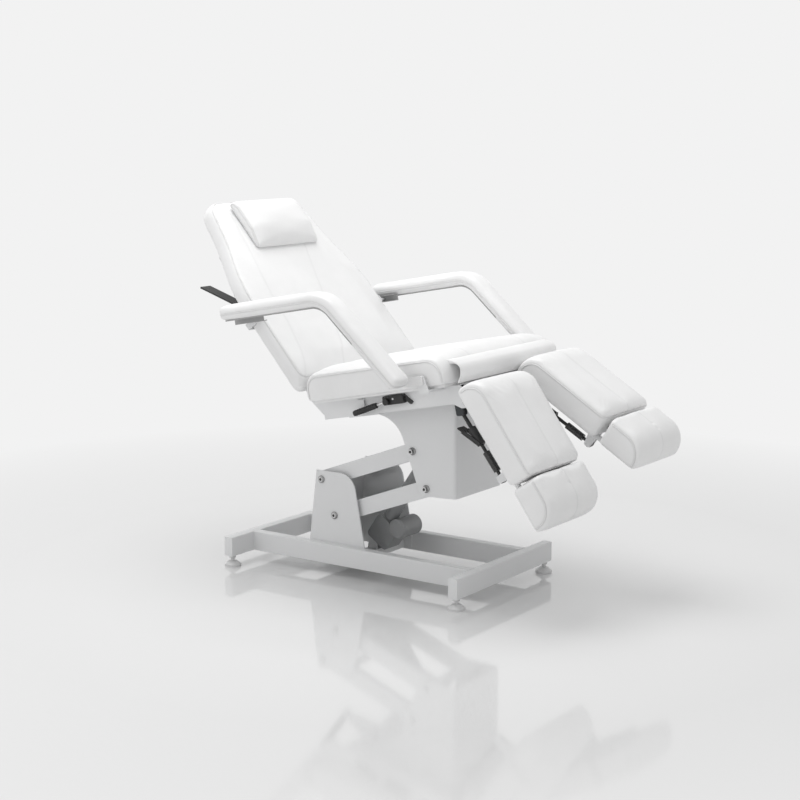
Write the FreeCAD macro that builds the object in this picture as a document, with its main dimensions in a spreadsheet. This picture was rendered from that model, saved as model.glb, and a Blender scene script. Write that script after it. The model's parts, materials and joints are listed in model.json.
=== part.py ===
"""Electric podiatry treatment chair: base, parallelogram lift, seat, back, arms and split leg rests.

Axes: X runs from the head end to the foot end, Y across the chair, Z up.  The origin is on the
floor under the middle of the chair.  Millimetres and degrees throughout.

Local frames used below, all in the X-Z plane:
  seat   x along the cushion towards the feet, z square to the cushion
  back   x down the back towards the seat (values are negative up the back), z out of its front
  leg    x down the leg rest, z out of its front
  arm    x along the upper part of the armrest, z square to it, zero at its front hinge
"""
import FreeCAD, Part

import math
import os
import re

import Sketcher
from FreeCAD import Placement, Rotation, Vector

SIZES = {
    # shared fits
    "running_gap": 0.05,
    "body_gap": 0.4,
    "cut_overrun": 12.0,
    "pin_radius": 6.0,
    "eye_wall": 4.0,
    "base_centre_x": -142.9,
    # base frame
    "base_length": 854.0,
    "base_width": 525.0,
    "base_tube_wide": 30.0,
    "base_tube_high": 60.0,
    "base_tube_wall": 2.5,
    "base_rail_spacing": 284.0,
    "base_ground_gap": 34.0,
    "base_edge_round": 3.0,
    "drain_radius": 3.0,
    # levelling feet
    "foot_inset": 20.0,
    "foot_radius": 25.0,
    "foot_edge_height": 8.0,
    "foot_height": 17.0,
    "foot_hub_radius": 13.0,
    "foot_stud_radius": 6.0,
    "foot_stud_length": 66.0,
    "foot_nut_radius": 10.0,
    "foot_nut_height": 7.0,
    # lift tower and parallelogram
    "tower_width": 254.0,
    "tower_sheet": 4.0,
    "tower_pivot_x": -104.3,
    "tower_pivot_height": 85.2,
    "tower_foot_rear": 94.7,
    "tower_foot_front": 110.3,
    "tower_foot_depth": 50.0,
    "tower_top_rear": 67.7,
    "tower_top_front": 68.3,
    "tower_top_height": 132.8,
    "tower_top_round": 57.0,
    "tower_rear_drop": 50.0,
    "link_offset_x": 48.7,
    "link_offset_z": 105.5,
    "arm_length": 355.5,
    "arm_angle": 20.4,
    "arm_bar_high": 50.0,
    "arm_bar_thick": 25.0,
    "arm_bar_centre": 99.5,
    "arm_bar_wall": 2.5,
    "arm_end_reach": 25.0,
    "arm_end_round": 18.0,
    "bush_radius": 17.0,
    "shaft_radius": 10.0,
    "shaft_head_radius": 11.5,
    "shaft_head_height": 6.0,
    "shaft_head_round": 3.0,
    "shaft_socket_radius": 3.5,
    "shaft_socket_depth": 3.0,
    "brace_radius": 12.7,
    "brace_bore_radius": 10.2,
    "brace_place": 62.0,
    # column
    "column_width": 249.0,
    "column_sheet": 3.0,
    "column_front": 102.2,
    "column_front_low": 19.2,
    "column_rear_low": 21.8,
    "column_foot_drop": 23.7,
    "column_front_high": 286.8,
    "column_crest_back": 28.8,
    "column_crest_height": 276.8,
    "column_tip_back": 176.8,
    "column_tip_low": 203.8,
    "column_tip_high": 208.8,
    "column_neck_back": 102.0,
    "column_neck_height": 189.8,
    "column_neck_round": 100.0,
    "column_foot_round": 18.0,
    "column_bend_round": 12.0,
    "tilt_pivot_x": 11.2,
    "tilt_pivot_z": 256.8,
    "tilt_shaft_radius": 8.0,
    "tilt_anchor_x": 61.2,
    "tilt_anchor_z": 136.8,
    # actuator
    "actuator_pivot_x": -42.0,
    "actuator_pivot_z": 83.0,
    "actuator_tube_radius": 21.0,
    "actuator_tube_start": 30.0,
    "actuator_tube_end": 285.0,
    "actuator_rod_radius": 11.0,
    "actuator_rod_length": 258.0,
    "actuator_bore_start": 70.0,
    "actuator_eye_play": 8.0,
    "actuator_eye_wall": 7.0,
    "actuator_eye_width": 24.0,
    "gearbox_length": 82.0,
    "gearbox_start": 18.0,
    "gearbox_wide": 66.0,
    "gearbox_top": 26.0,
    "gearbox_low": 58.0,
    "gearbox_round": 12.0,
    "motor_radius": 31.0,
    "motor_along": 104.0,
    "motor_drop": 52.0,
    "motor_far": 62.0,
    "motor_near": 36.0,
    "motor_edge": 5.0,
    "mount_tube_wide": 40.0,
    "mount_tube_high": 24.0,
    "mount_drop": 44.0,
    "mount_ear_thick": 5.0,
    "mount_ear_width": 36.0,
    "mount_ear_round": 14.0,
    # seat frame: tilt shaft place in the seat, tray, board and cushion
    "seat_tilt": 11.4,
    "seat_pivot_x": 294.0,
    "seat_pivot_z": -51.0,
    "seat_rear": -10.0,
    "seat_front": 478.0,
    "seat_width": 600.0,
    "seat_depth": 83.0,
    "seat_rear_round": 46.0,
    "seat_low_round": 15.0,
    "seat_front_round": 60.0,
    "seat_crown": 13.0,
    "seat_front_swell_share": 0.35,
    "seat_channel_place": 150.0,
    "board_thick": 12.0,
    "board_inset": 16.0,
    "side_puff": 3.0,
    "seam_inset": 10.0,
    "channel_half_width": 4.0,
    "channel_depth": 2.5,
    "tray_width": 463.0,
    "tray_sheet": 3.0,
    "tray_depth": 53.0,
    "tray_top": -5.0,
    "tray_bend_round": 5.0,
    "tray_lip_start": 79.0,
    "tray_lip_end": 186.0,
    "tray_lip_wide": 30.0,
    "hook_start": 122.0,
    "hook_end": 147.0,
    "hook_high": 27.0,
    "hook_out": 9.0,
    "hook_thick": 3.0,
    "tilt_lug_thick": 6.0,
    "tilt_lug_half": 22.0,
    "tilt_lug_round": 14.0,
    "tilt_spring_arm_x": 85.5,
    "tilt_spring_arm_z": 28.5,
    "flap_side_gap": 37.0,
    "flap_low_angle": 30.0,
    "flap_high_angle": 54.0,
    "flap_round": 12.0,
    "flap_crease_lead": 36.0,
    "flap_crease_z": 44.5,
    "flap_front_lead": 29.5,
    "flap_front_z": 17.0,
    "flap_foot_lead": 16.5,
    "flap_foot_z": -4.0,
    "flap_thick": 7.0,
    # back hinge and back rest
    "back_hinge_x": -60.3,
    "back_hinge_z": 21.7,
    "back_hinge_radius": 8.0,
    "back_angle": 48.7,
    "back_hinge_s": -20.0,
    "back_hinge_n": -66.0,
    "back_bar_high": 22.0,
    "back_bar_thick": 25.0,
    "back_bar_inset": 30.5,
    "back_bar_end": 500.0,
    "back_bar_wall": 2.5,
    "back_ear_thick": 5.0,
    "back_ear_round": 10.0,
    "back_ear_root": 30.0,
    "back_bar_tail": 31.0,
    "back_bar_round": 8.0,
    "back_foot": -15.0,
    "back_waist": 345.0,
    "back_shoulder": 500.0,
    "back_shoulder_inset": 57.0,
    "back_top": 655.0,
    "back_top_inset": 90.0,
    "back_rear": -54.0,
    "back_foot_round": 24.0,
    "back_waist_round": 380.0,
    "back_top_round": 58.0,
    "back_crown": 12.0,
    "back_foot_swell": 9.0,
    "back_seam_round": 40.0,
    "cross_bar_place": 280.0,
    "cross_bar_wide": 24.0,
    "spring_lug_depth": 33.0,
    "spring_eye_width": 16.0,
    "spring_pin_radius": 5.0,
    "spring_lug_thick": 4.0,
    "spring_centre_y": -30.0,
    "back_spring_x": -87.7,
    "back_spring_z": -53.5,
    "spring_body_radius": 11.0,
    "spring_neck": 16.0,
    "spring_rod_radius": 5.0,
    "back_spring_body": 236.0,
    "back_spring_reach": 198.0,
    "back_spring_play": 6.4,
    "tilt_spring_body": 124.0,
    "tilt_spring_reach": 128.0,
    "tilt_spring_play": 2.0,
    "peg_radius": 4.0,
    "peg_s": 234.0,
    "peg_n": -14.0,
    "peg_end_gap": 6.0,
    "peg_strap_gap": 4.5,
    "peg_strap_thick": 4.0,
    "peg_strap_high": 20.0,
    "peg_strap_rear_gap": 2.0,
    "peg_strap_end": 9.0,
    # back release lever
    "back_lever_s": 330.0,
    "back_lever_n": -86.0,
    "back_lever_length": 150.0,
    "back_lever_angle": 31.0,
    "back_lever_width": 44.0,
    "back_lever_thick": 5.0,
    "back_lever_side_gap": 34.0,
    "back_lever_inner": 58.0,
    "back_lever_boss": 9.0,
    "back_lever_lug_gap": 14.0,
    "back_lever_rod_radius": 4.0,
    # pillow
    "pillow_low": 455.0,
    "pillow_high": 628.0,
    "pillow_half_width": 145.0,
    "pillow_rise": 30.0,
    "pillow_seam": 4.0,
    "pillow_slope": 62.0,
    "pillow_low_round": 10.0,
    "pillow_round": 30.0,
    "pillow_edge": 6.0,
    "pillow_crown": 4.0,
    # armrests
    "arm_hinge_back": 73.0,
    "arm_hinge_z": 23.0,
    "arm_seat_gap": 39.0,
    "arm_pad_angle": 10.4,
    "arm_rear_reach": 607.5,
    "arm_height": 263.0,
    "arm_corner_back": 229.4,
    "arm_lower_length": 340.0,
    "arm_bend_angle": 51.9,
    "arm_bend_round": 90.0,
    "arm_pad_thick": 42.0,
    "arm_pad_width": 72.0,
    "arm_pad_soft": 16.0,
    "arm_pad_end_round": 14.0,
    "arm_strip_thick": 4.0,
    "arm_strip_width": 40.0,
    "arm_strip_end_gap": 14.0,
    "arm_pin_radius": 6.0,
    "arm_cheek_reach": 62.0,
    "arm_tie_length": 24.0,
    "arm_cheek_thick": 4.0,
    "arm_cheek_round": 13.0,
    "arm_guide_length": 110.0,
    "arm_guide_play": 4.6,
    "arm_guide_wall": 2.5,
    "arm_guide_depth": 16.0,
    "outrigger_lead": 5.0,
    "outrigger_wide": 30.0,
    "outrigger_thick": 8.0,
    "outrigger_seat_gap": 11.0,
    "outrigger_lug_thick": 5.0,
    "outrigger_lug_round": 13.0,
    # seat release lever
    "release_start": 221.0,
    "release_length": 71.0,
    "release_high": 26.0,
    "release_centre_z": -24.0,
    "release_thick": 18.0,
    "release_round": 5.0,
    "release_tab_length": 26.0,
    "release_tab_high": 9.0,
    "release_tab_angle": -42.0,
    "seat_lever_pivot_x": 236.0,
    "seat_lever_pivot_z": -27.0,
    "seat_lever_boss": 9.0,
    "seat_lever_rod_radius": 4.0,
    "seat_lever_rod_length": 30.0,
    "seat_lever_grip_length": 84.0,
    "seat_lever_grip_radius": 8.0,
    "seat_lever_angle": 10.5,
    "seat_lever_gap": 2.0,
    # leg rests
    "leg_hinge_lead": 8.0,
    "leg_hinge_z": -58.0,
    "leg_rod_radius": 7.0,
    "leg_rod_overhang": 4.0,
    "leg_near_angle": 54.5,
    "leg_far_angle": 31.5,
    "leg_middle_gap": 66.0,
    "leg_top": -28.0,
    "leg_end": 276.0,
    "leg_rear": 35.0,
    "leg_front": 118.0,
    "leg_top_round": 60.0,
    "leg_corner_round": 22.0,
    "leg_rear_round": 15.0,
    "leg_crown": 13.0,
    "leg_plate_thick": 3.0,
    "leg_plate_start": 6.0,
    "leg_plate_end": 262.0,
    "leg_plate_inset": 26.5,
    "leg_gusset_spread": 52.0,
    "leg_gusset_thick": 5.0,
    "leg_gusset_round": 14.0,
    "leg_gusset_length": 70.0,
    "leg_tube_spread": 72.0,
    "leg_tube_radius": 11.0,
    "leg_tube_sink": 1.5,
    "leg_tube_start": 120.0,
    "hinge_lug_thick": 5.0,
    "hinge_lug_round": 14.0,
    "hinge_lug_back": 40.0,
    "hinge_lug_centre": 6.0,
    # leg strut
    "strut_place_share": 0.7775,
    "strut_top_back": 51.0,
    "strut_top_z": -84.0,
    "strut_foot_x": 224.0,
    "strut_foot_z": -49.0,
    "strut_head_start": 55.0,
    "strut_head_end": 110.0,
    "strut_head_radius": 12.0,
    "strut_link_radius": 5.6,
    "strut_rod_radius": 5.0,
    "strut_rod_end": 171.0,
    "strut_pin_radius": 4.0,
    "strut_bore_end": 25.5,
    "strut_body_radius": 10.5,
    "strut_neck": 24.0,
    "strut_body_length": 86.0,
    "strut_eye_radius": 10.0,
    "strut_eye_width": 12.0,
    "strut_eye_play": 5.0,
    "strut_lug_thick": 4.0,
    "strut_lug_half": 20.0,
    "bracket_thick": 4.0,
    "bracket_half": 15.0,
    "bracket_low": 12.0,
    "paddle_length": 76.0,
    "paddle_width": 34.0,
    "paddle_thick": 4.0,
    "paddle_angle": 24.0,
    "paddle_boss": 6.0,
    "paddle_start": 54.0,
    "paddle_pin_radius": 3.0,
    "paddle_cheek_thick": 3.0,
    # foot rests
    "foot_pad_start": 286.0,
    "foot_pad_end": 416.0,
    "foot_pad_start_round": 12.0,
    "foot_pad_end_round": 67.0,
    "foot_far_extra": 10.0,
    "foot_slide_gap": 2.5,
    "foot_slide_thick": 3.0,
    "foot_slide_width": 190.0,
    "foot_slide_length": 100.0,
    "foot_rod_radius": 8.0,
    "foot_rod_length": 186.0,
}

# Sizes that follow others, so that pieces that keep together stay together.
LINKED_SIZES = {
    "flap_width": "seat_width - 2 * flap_side_gap",
    "flap_crease_x": "seat_front + flap_crease_lead",
    "flap_front_x": "seat_front + flap_front_lead",
    "flap_foot_x": "seat_front + flap_foot_lead",
    "back_half_width": "seat_width / 2",
    "back_shoulder_half": "back_half_width - back_shoulder_inset",
    "back_top_half": "back_half_width - back_top_inset",
    "back_bar_centre": "tray_width / 2 - back_bar_inset",
    "back_lever_out": "back_bar_centre + back_lever_side_gap",
    "arm_hinge_x": "seat_front - arm_hinge_back",
    "arm_centre": "seat_width / 2 + arm_seat_gap + arm_pad_width / 2",
    "outrigger_lug_inner": "seat_width / 2 + outrigger_seat_gap",
    "peg_strap_out": "back_half_width + peg_strap_gap",
    "peg_reach": "arm_centre - arm_pad_width / 2 - peg_end_gap",
    "leg_hinge_x": "seat_front + leg_hinge_lead",
    "leg_width": "(seat_width - leg_middle_gap) / 2",
    "leg_centre": "(seat_width - leg_width) / 2",
    "leg_plate_width": "leg_width - 2 * leg_plate_inset",
    "strut_top_x": "leg_hinge_x - strut_top_back",
    "strut_y": "strut_place_share * tray_width / 2",
}

# Crown of a cushion: places across the half width, and the rise there as a share of the crown.
CROWN_PLACE_SHARES = (0.955, 0.88, 0.72, 0.42)
CROWN_RISE_SHARES = (0.42, 0.72, 0.93, 1.0)
# Levels of the back's front face: rise and inset, each as a share of the crown and the half width.
BACK_RISE_SHARES = (0.4, 0.72, 0.94, 1.0)
BACK_INSET_SHARES = (0.045, 0.12, 0.26, 0.42)
# Levels of the back's side below the seam, as shares of its thickness.
BACK_SIDE_SHARES = (0.14, 0.55, 0.92)

document = FreeCAD.newDocument("PodiatryChair")
sheet = document.addObject("Spreadsheet::Sheet", "Sizes")
rows = list(SIZES.items()) + [(name, "=" + formula) for name, formula in LINKED_SIZES.items()]
for row, (size_name, size) in enumerate(rows, 1):
    sheet.set("A%d" % row, size_name)
    sheet.set("B%d" % row, str(size))
    sheet.setAlias("B%d" % row, size_name)
document.recompute()

ALIASES = set(dict(rows))
WORD = re.compile(r"[a-z][a-z_0-9]*")
UP = Rotation()
ALONG_Y = Rotation(Vector(1, 0, 0), 90)
ALONG_X = Rotation(Vector(0, 1, 0), 90)


def bind(text):
    """Turn a formula in size names into one that reads the sheet."""
    return WORD.sub(lambda match: "Sizes." + match.group(0) if match.group(0) in ALIASES else match.group(0), text)


def value(text):
    """Return the present value of a formula in size names."""
    return float(sheet.evalExpression(bind(text)))


def turned(x, z, angle, y=0.0):
    """Return a frame at (x, y, z) whose x axis is lifted by angle towards +Z."""
    return Placement(Vector(x, y, z), Rotation(Vector(0, -1, 0), angle))


def spot(frame, x, z):
    """Return the point (x, z) of a frame in the outer frame."""
    return frame.multVec(Vector(x, 0, z))


def origin_plane(body, role):
    """Return an origin plane of a body by its role."""
    for feature in body.Origin.OriginFeatures:
        if feature.Role == role:
            return feature
    raise ValueError(role)


def add_outline(sketch, outline):
    """Draw a closed outline of straight edges whose corners follow formulas."""
    points = [(value(x), value(y)) for x, y in outline]
    first = sketch.GeometryCount
    for here, there in zip(points, points[1:] + points[:1]):
        sketch.addGeometry(Part.LineSegment(Vector(here[0], here[1], 0), Vector(there[0], there[1], 0)), False)
    count = len(points)
    for index in range(count):
        sketch.addConstraint(
            Sketcher.Constraint("Coincident", first + index, 2, first + (index + 1) % count, 1)
        )
    for index, formulas in enumerate(outline):
        for kind, formula, number in zip(("DistanceX", "DistanceY"), formulas, points[index]):
            place = sketch.addConstraint(Sketcher.Constraint(kind, -1, 1, first + index, 1, number))
            sketch.setExpression("Constraints[%d]" % place, bind(formula))


def add_circle(sketch, x, y, radius):
    """Draw a circle whose centre and radius follow formulas."""
    index = sketch.addGeometry(Part.Circle(Vector(value(x), value(y), 0), Vector(0, 0, 1), value(radius)), False)
    for kind, formula in (("DistanceX", x), ("DistanceY", y)):
        place = sketch.addConstraint(Sketcher.Constraint(kind, -1, 1, index, 3, value(formula)))
        sketch.setExpression("Constraints[%d]" % place, bind(formula))
    place = sketch.addConstraint(Sketcher.Constraint("Radius", index, value(radius)))
    sketch.setExpression("Constraints[%d]" % place, bind(radius))


def new_sketch(body, role):
    """Make a sketch on an origin plane of its own body."""
    sketch = body.newObject("Sketcher::SketchObject", body.Name + "_sketch")
    sketch.AttachmentSupport = [(origin_plane(body, role), "")]
    sketch.MapMode = "FlatFace"
    return sketch


def plate(label, outline, depth, role="XZ_Plane"):
    """Make a body by padding an outline evenly to both sides of its plane."""
    body = document.addObject("PartDesign::Body", label)
    body.Label = label
    sketch = new_sketch(body, role)
    add_outline(sketch, outline)
    pad = body.newObject("PartDesign::Pad", label + "_pad")
    pad.Profile = sketch
    pad.SideType = "Symmetric"
    pad.setExpression("Length", bind(depth))
    document.recompute()
    return body


def pocket(body, outline, depth, role="XZ_Plane"):
    """Cut an outline out of a body, evenly to both sides of its plane."""
    before = body.Shape.Volume
    sketch = new_sketch(body, role)
    add_outline(sketch, outline)
    cut = body.newObject("PartDesign::Pocket", body.Name + "_pocket")
    cut.Profile = sketch
    cut.SideType = "Symmetric"
    cut.setExpression("Length", bind(depth))
    document.recompute()
    check_cut(body, before)


def bore(body, places, radius, role="XZ_Plane", depth=None):
    """Cut round holes, right through or from the middle plane downwards."""
    before = body.Shape.Volume
    sketch = new_sketch(body, role)
    for x, y in places:
        add_circle(sketch, x, y, radius)
    cut = body.newObject("PartDesign::Pocket", body.Name + "_bore")
    cut.Profile = sketch
    if depth is None:
        cut.SideType = "Symmetric"
        cut.Type = "ThroughAll"
    else:
        cut.setExpression("Length", bind(depth))
    document.recompute()
    check_cut(body, before)


def check_cut(body, before):
    """Stop where a cut has taken nothing away."""
    if not body.Shape.Volume < before:
        raise ValueError(body.Label + ": cut removed nothing")


def corner_edges(body, places, axis):
    """Return the names of the edges along an axis that pass through given points of the other two."""
    wanted = [tuple(value(formula) for formula in place) for place in places]
    others = [index for index in range(3) if index != axis]
    names = []
    for index, edge in enumerate(body.Shape.Edges, 1):
        ends = [vertex.Point for vertex in edge.Vertexes]
        if len(ends) < 2 or not isinstance(edge.Curve, Part.Line):
            continue
        for place in wanted:
            if all(abs(end[other] - place[k]) < 1e-4 for end in ends for k, other in enumerate(others)):
                names.append("Edge%d" % index)
    return names


def soften(body, names, radius, kind="PartDesign::Fillet"):
    """Round or bevel named edges of a body."""
    if not names:
        raise ValueError(body.Label + ": no edge to round")
    feature = body.newObject(kind, body.Name + "_round")
    feature.Base = (body.Tip if body.Tip != feature else feature.BaseFeature, names)
    feature.setExpression("Radius" if kind.endswith("Fillet") else "Size", bind(radius))
    document.recompute()


def round_corners(body, places, radius, axis=1):
    """Round the corners of a padded outline at given places."""
    soften(body, corner_edges(body, places, axis), radius)


def turned_body(label, outline):
    """Make a body by turning an (r, z) outline about Z."""
    body = document.addObject("PartDesign::Body", label)
    body.Label = label
    sketch = new_sketch(body, "XZ_Plane")
    add_outline(sketch, outline)
    turn = body.newObject("PartDesign::Revolution", label + "_turn")
    turn.Profile = sketch
    turn.ReferenceAxis = (sketch, ["V_Axis"])
    turn.Angle = 360
    document.recompute()
    return body


def locate(item, rotation, x, y, z):
    """Place a piece inside its sub-part by formulas."""
    item.Placement = Placement(Vector(value(x), value(y), value(z)), rotation)
    for axis, formula in (("x", x), ("y", y), ("z", z)):
        item.setExpression("Placement.Base." + axis, bind(formula))
    return item


def box(name, length, width, height, x="0", y="0", z="0", rotation=UP):
    """Make a block with its least corner at (x, y, z)."""
    item = document.addObject("Part::Box", name)
    item.setExpression("Length", bind(length))
    item.setExpression("Width", bind(width))
    item.setExpression("Height", bind(height))
    return locate(item, rotation, x, y, z)


def rod(name, radius, length, x="0", y="0", z="0", rotation=UP):
    """Make a solid cylinder that starts at (x, y, z) and runs along its turned Z axis."""
    item = document.addObject("Part::Cylinder", name)
    item.setExpression("Radius", bind(radius))
    item.setExpression("Height", bind(length))
    return locate(item, rotation, x, y, z)


def fuse(label, pieces):
    """Join pieces that are one solid on the chair."""
    item = document.addObject("Part::MultiFuse", label)
    item.Label = label
    item.Shapes = pieces
    item.Refine = True
    document.recompute()
    return item


def cut(label, base, tool):
    """Take one piece away from another."""
    item = document.addObject("Part::Cut", label)
    item.Label = label
    item.Base = base
    item.Tool = tool
    item.Refine = True
    document.recompute()
    return item


def group(label, pieces):
    """Keep separate solids of one sub-part together."""
    item = document.addObject("Part::Compound", label)
    item.Label = label
    item.Links = pieces
    document.recompute()
    return item


def shaped(label, shape):
    """Make a sub-part from a shape computed from the sheet."""
    item = document.addObject("Part::Feature", label)
    item.Label = label
    item.Shape = shape
    return item


def offset_outline(points, offsets):
    """Shift each edge of a closed outline outwards (anticlockwise points) and meet the edges again."""
    lines = []
    for index, (here, there) in enumerate(zip(points, points[1:] + points[:1])):
        run = Vector(there[0] - here[0], there[1] - here[1], 0).normalize()
        side = Vector(run.y, -run.x, 0) * offsets[index]
        lines.append((Vector(here[0], here[1], 0) + side, run))
    corners = []
    for index in range(len(lines)):
        (p, u), (q, w) = lines[index - 1], lines[index]
        across = u.x * w.y - u.y * w.x
        along = ((q.x - p.x) * w.y - (q.y - p.y) * w.x) / across
        corners.append((p.x + u.x * along, p.y + u.y * along))
    return corners


def rounded_wire(points, radii, lift):
    """Return a closed wire of lines and arcs through a rounded outline; lift maps it into space."""
    starts, middles, ends = [], [], []
    count = len(points)
    for index in range(count):
        corner = Vector(points[index][0], points[index][1], 0)
        before = Vector(points[index - 1][0], points[index - 1][1], 0) - corner
        after = Vector(points[(index + 1) % count][0], points[(index + 1) % count][1], 0) - corner
        before.normalize()
        after.normalize()
        half = before.getAngle(after) / 2
        tangent = radii[index] / math.tan(half)
        bisector = (before + after).normalize()
        starts.append(corner + before * tangent)
        ends.append(corner + after * tangent)
        middles.append(corner + bisector * (radii[index] / math.sin(half) - radii[index]))
    edges = []
    for index in range(count):
        following = (index + 1) % count
        edges.append(Part.Arc(lift(starts[index]), lift(middles[index]), lift(ends[index])).toShape())
        edges.append(Part.LineSegment(lift(ends[index]), lift(starts[following])).toShape())
    return Part.Wire(edges)


def side_cushion(label, points, radii, swell, half_width, crown, channels=(), seam_size="seam_inset"):
    """Loft a cushion across its width: flat puffed sides, seams, a crown and sewn channels."""
    puff = value("side_puff")
    seam = value(seam_size)
    dip = value("channel_depth")
    narrow = value("channel_half_width")
    stations = [(half_width + puff, -seam), (half_width, 0.0)]
    for place, rise in zip(CROWN_PLACE_SHARES, CROWN_RISE_SHARES):
        stations.append((half_width * place, crown * rise))
    stations = stations + [(-place, rise) for place, rise in reversed(stations)]
    heights = sorted(stations)
    for channel in channels:
        low = [entry for entry in heights if entry[0] <= channel][-1]
        high = [entry for entry in heights if entry[0] > channel][0]
        share = (channel - low[0]) / (high[0] - low[0])
        level = low[1] + (high[1] - low[1]) * share
        heights = heights + [(channel - narrow, level), (channel, level - dip), (channel + narrow, level)]
    wires = []
    for place, rise in sorted(heights):
        if rise < 0:
            offsets = [rise] * len(points)
        else:
            offsets = [rise * share for share in swell]
        outline = offset_outline(points, offsets)
        drawn = [max(radius + min(rise, 0.0), radius / 3) for radius in radii]
        wires.append(rounded_wire(outline, drawn, lambda point, y=place: Vector(point.x, y, point.y)))
    return Part.makeLoft(wires, True, True)


# Frames of the photographed pose.

seat_rest = value("seat_tilt")
lower_pivot = Vector(value("base_centre_x + tower_pivot_x"), 0, value("base_ground_gap + base_tube_high + tower_pivot_height"))
lower_arm_frame = turned(lower_pivot.x, lower_pivot.z, value("arm_angle"))
upper_arm_frame = turned(
    lower_pivot.x - value("link_offset_x"), lower_pivot.z + value("link_offset_z"), value("arm_angle")
)
column_pivot = spot(lower_arm_frame, value("arm_length"), 0)
column_frame = turned(column_pivot.x, column_pivot.z, 0)
tilt_pivot = spot(column_frame, value("tilt_pivot_x"), value("tilt_pivot_z"))
seat_frame = turned(tilt_pivot.x, tilt_pivot.z, seat_rest) * turned(-value("seat_pivot_x"), -value("seat_pivot_z"), 0)
back_hinge = spot(seat_frame, value("back_hinge_x"), value("back_hinge_z"))
back_frame = turned(back_hinge.x, back_hinge.z, -value("back_angle")) * turned(
    value("back_hinge_s"), -value("back_hinge_n"), 0
)
leg_hinge = spot(seat_frame, value("leg_hinge_x"), value("leg_hinge_z"))
leg_frames = {
    "near": turned(leg_hinge.x, leg_hinge.z, -value("leg_near_angle")),
    "far": turned(leg_hinge.x, leg_hinge.z, -value("leg_far_angle")),
}
arm_hinge = spot(seat_frame, value("arm_hinge_x"), value("arm_hinge_z"))
arm_frame = turned(arm_hinge.x, arm_hinge.z, value("arm_pad_angle"))
actuator_pivot = Vector(value("base_centre_x + actuator_pivot_x"), 0, value("actuator_pivot_z"))
strut_top = spot(seat_frame, value("strut_top_x"), value("strut_top_z"))
strut_foot = {side: spot(frame, value("strut_foot_x"), value("strut_foot_z")) for side, frame in leg_frames.items()}


def aimed(start, end):
    """Return a frame at one point whose x axis runs towards another."""
    run = end - start
    return turned(start.x, start.z, math.degrees(math.atan2(run.z, run.x)))


upper_pivot = spot(upper_arm_frame, value("arm_length"), 0)
actuator_frame = aimed(actuator_pivot, upper_pivot)
actuator_length = (upper_pivot - actuator_pivot).Length
strut_frames = {side: aimed(strut_top, foot) for side, foot in strut_foot.items()}
strut_lengths = {side: (foot - strut_top).Length for side, foot in strut_foot.items()}
back_spring_foot = spot(seat_frame, value("back_spring_x"), value("back_spring_z"))
back_spring_head = spot(
    back_frame, -value("cross_bar_place"), value("back_hinge_n - spring_lug_depth")
)
back_spring_frame = aimed(back_spring_foot, back_spring_head)
back_spring_length = (back_spring_head - back_spring_foot).Length
tilt_spring_foot = spot(column_frame, value("tilt_anchor_x"), value("tilt_anchor_z"))
tilt_spring_head = spot(
    seat_frame, value("seat_pivot_x - tilt_spring_arm_x"), value("seat_pivot_z + tilt_spring_arm_z")
)
tilt_spring_frame = aimed(tilt_spring_foot, tilt_spring_head)
tilt_spring_length = (tilt_spring_head - tilt_spring_foot).Length
SIDES = {"near": -1, "far": 1}

nodes = []


def finish(item, frame, x="0", y="0", z="0", rotation=UP):
    """Set a sub-part into its frame and keep it for writing."""
    local = Placement(Vector(value(x), value(y), value(z)), rotation)
    item.Placement = frame * local
    nodes.append(item)
    return item


def rectangle(left, right, low, high):
    """Return the four corners of a rectangle as formulas."""
    return [(left, low), (right, low), (right, high), (left, high)]


def ring(name, outer, inner, length, x="0", y="0", z="0", rotation=ALONG_Y):
    """Make a tube centred on (x, y, z)."""
    low = "-(%s) / 2" % length
    high = "(%s) / 2" % length
    body = turned_body(name, [(inner, low), (outer, low), (outer, high), (inner, high)])
    return locate(body, rotation, x, y, z)


def headed_shaft(name, radius, half, x="0", z="0"):
    """Make a shaft along Y with a round socket head at both ends."""
    top = "(%s) + shaft_head_height" % half
    shoulder = "(%s) + shaft_head_height - shaft_head_round" % half
    socket = "(%s) + shaft_head_height - shaft_socket_depth" % half
    upper = [
        (radius, half),
        ("shaft_head_radius", half),
        ("shaft_head_radius", shoulder),
        ("shaft_head_radius - shaft_head_round", top),
        ("shaft_socket_radius", top),
        ("shaft_socket_radius", socket),
        ("0", socket),
    ]
    lower = [(across, "-(%s)" % along) for across, along in reversed(upper)]
    body = turned_body(name, lower + upper)
    return locate(body, ALONG_Y, x, "0", z)


def cheeks(name, outline, rounds, inner, thick, middle="0", holes=(), hole_radius=None):
    """Make a pair of equal plates, each side of a middle plane."""
    pair = []
    for sign in ("-", ""):
        item = plate(name + ("_low" if sign else "_high"), outline, thick)
        for places, radius in rounds:
            round_corners(item, places, radius)
        if holes:
            bore(item, holes, hole_radius)
        item.Placement = Placement()
        locate(item, UP, "0", "%s + %s((%s) + (%s) / 2)" % (middle, sign, inner, thick), "0")
        pair.append(item)
    return pair


# Base: two crossbars, two rails, four levelling feet.
base_frame = Placement(Vector(value("base_centre_x"), 0, value("base_ground_gap + base_tube_high / 2")), UP)
SECTION = rectangle("-base_tube_wide / 2", "base_tube_wide / 2", "-base_tube_high / 2", "base_tube_high / 2")
BORE_SECTION = rectangle(
    "-base_tube_wide / 2 + base_tube_wall",
    "base_tube_wide / 2 - base_tube_wall",
    "-base_tube_high / 2 + base_tube_wall",
    "base_tube_high / 2 - base_tube_wall",
)
foot_line = "base_width / 2 - foot_inset"


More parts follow.
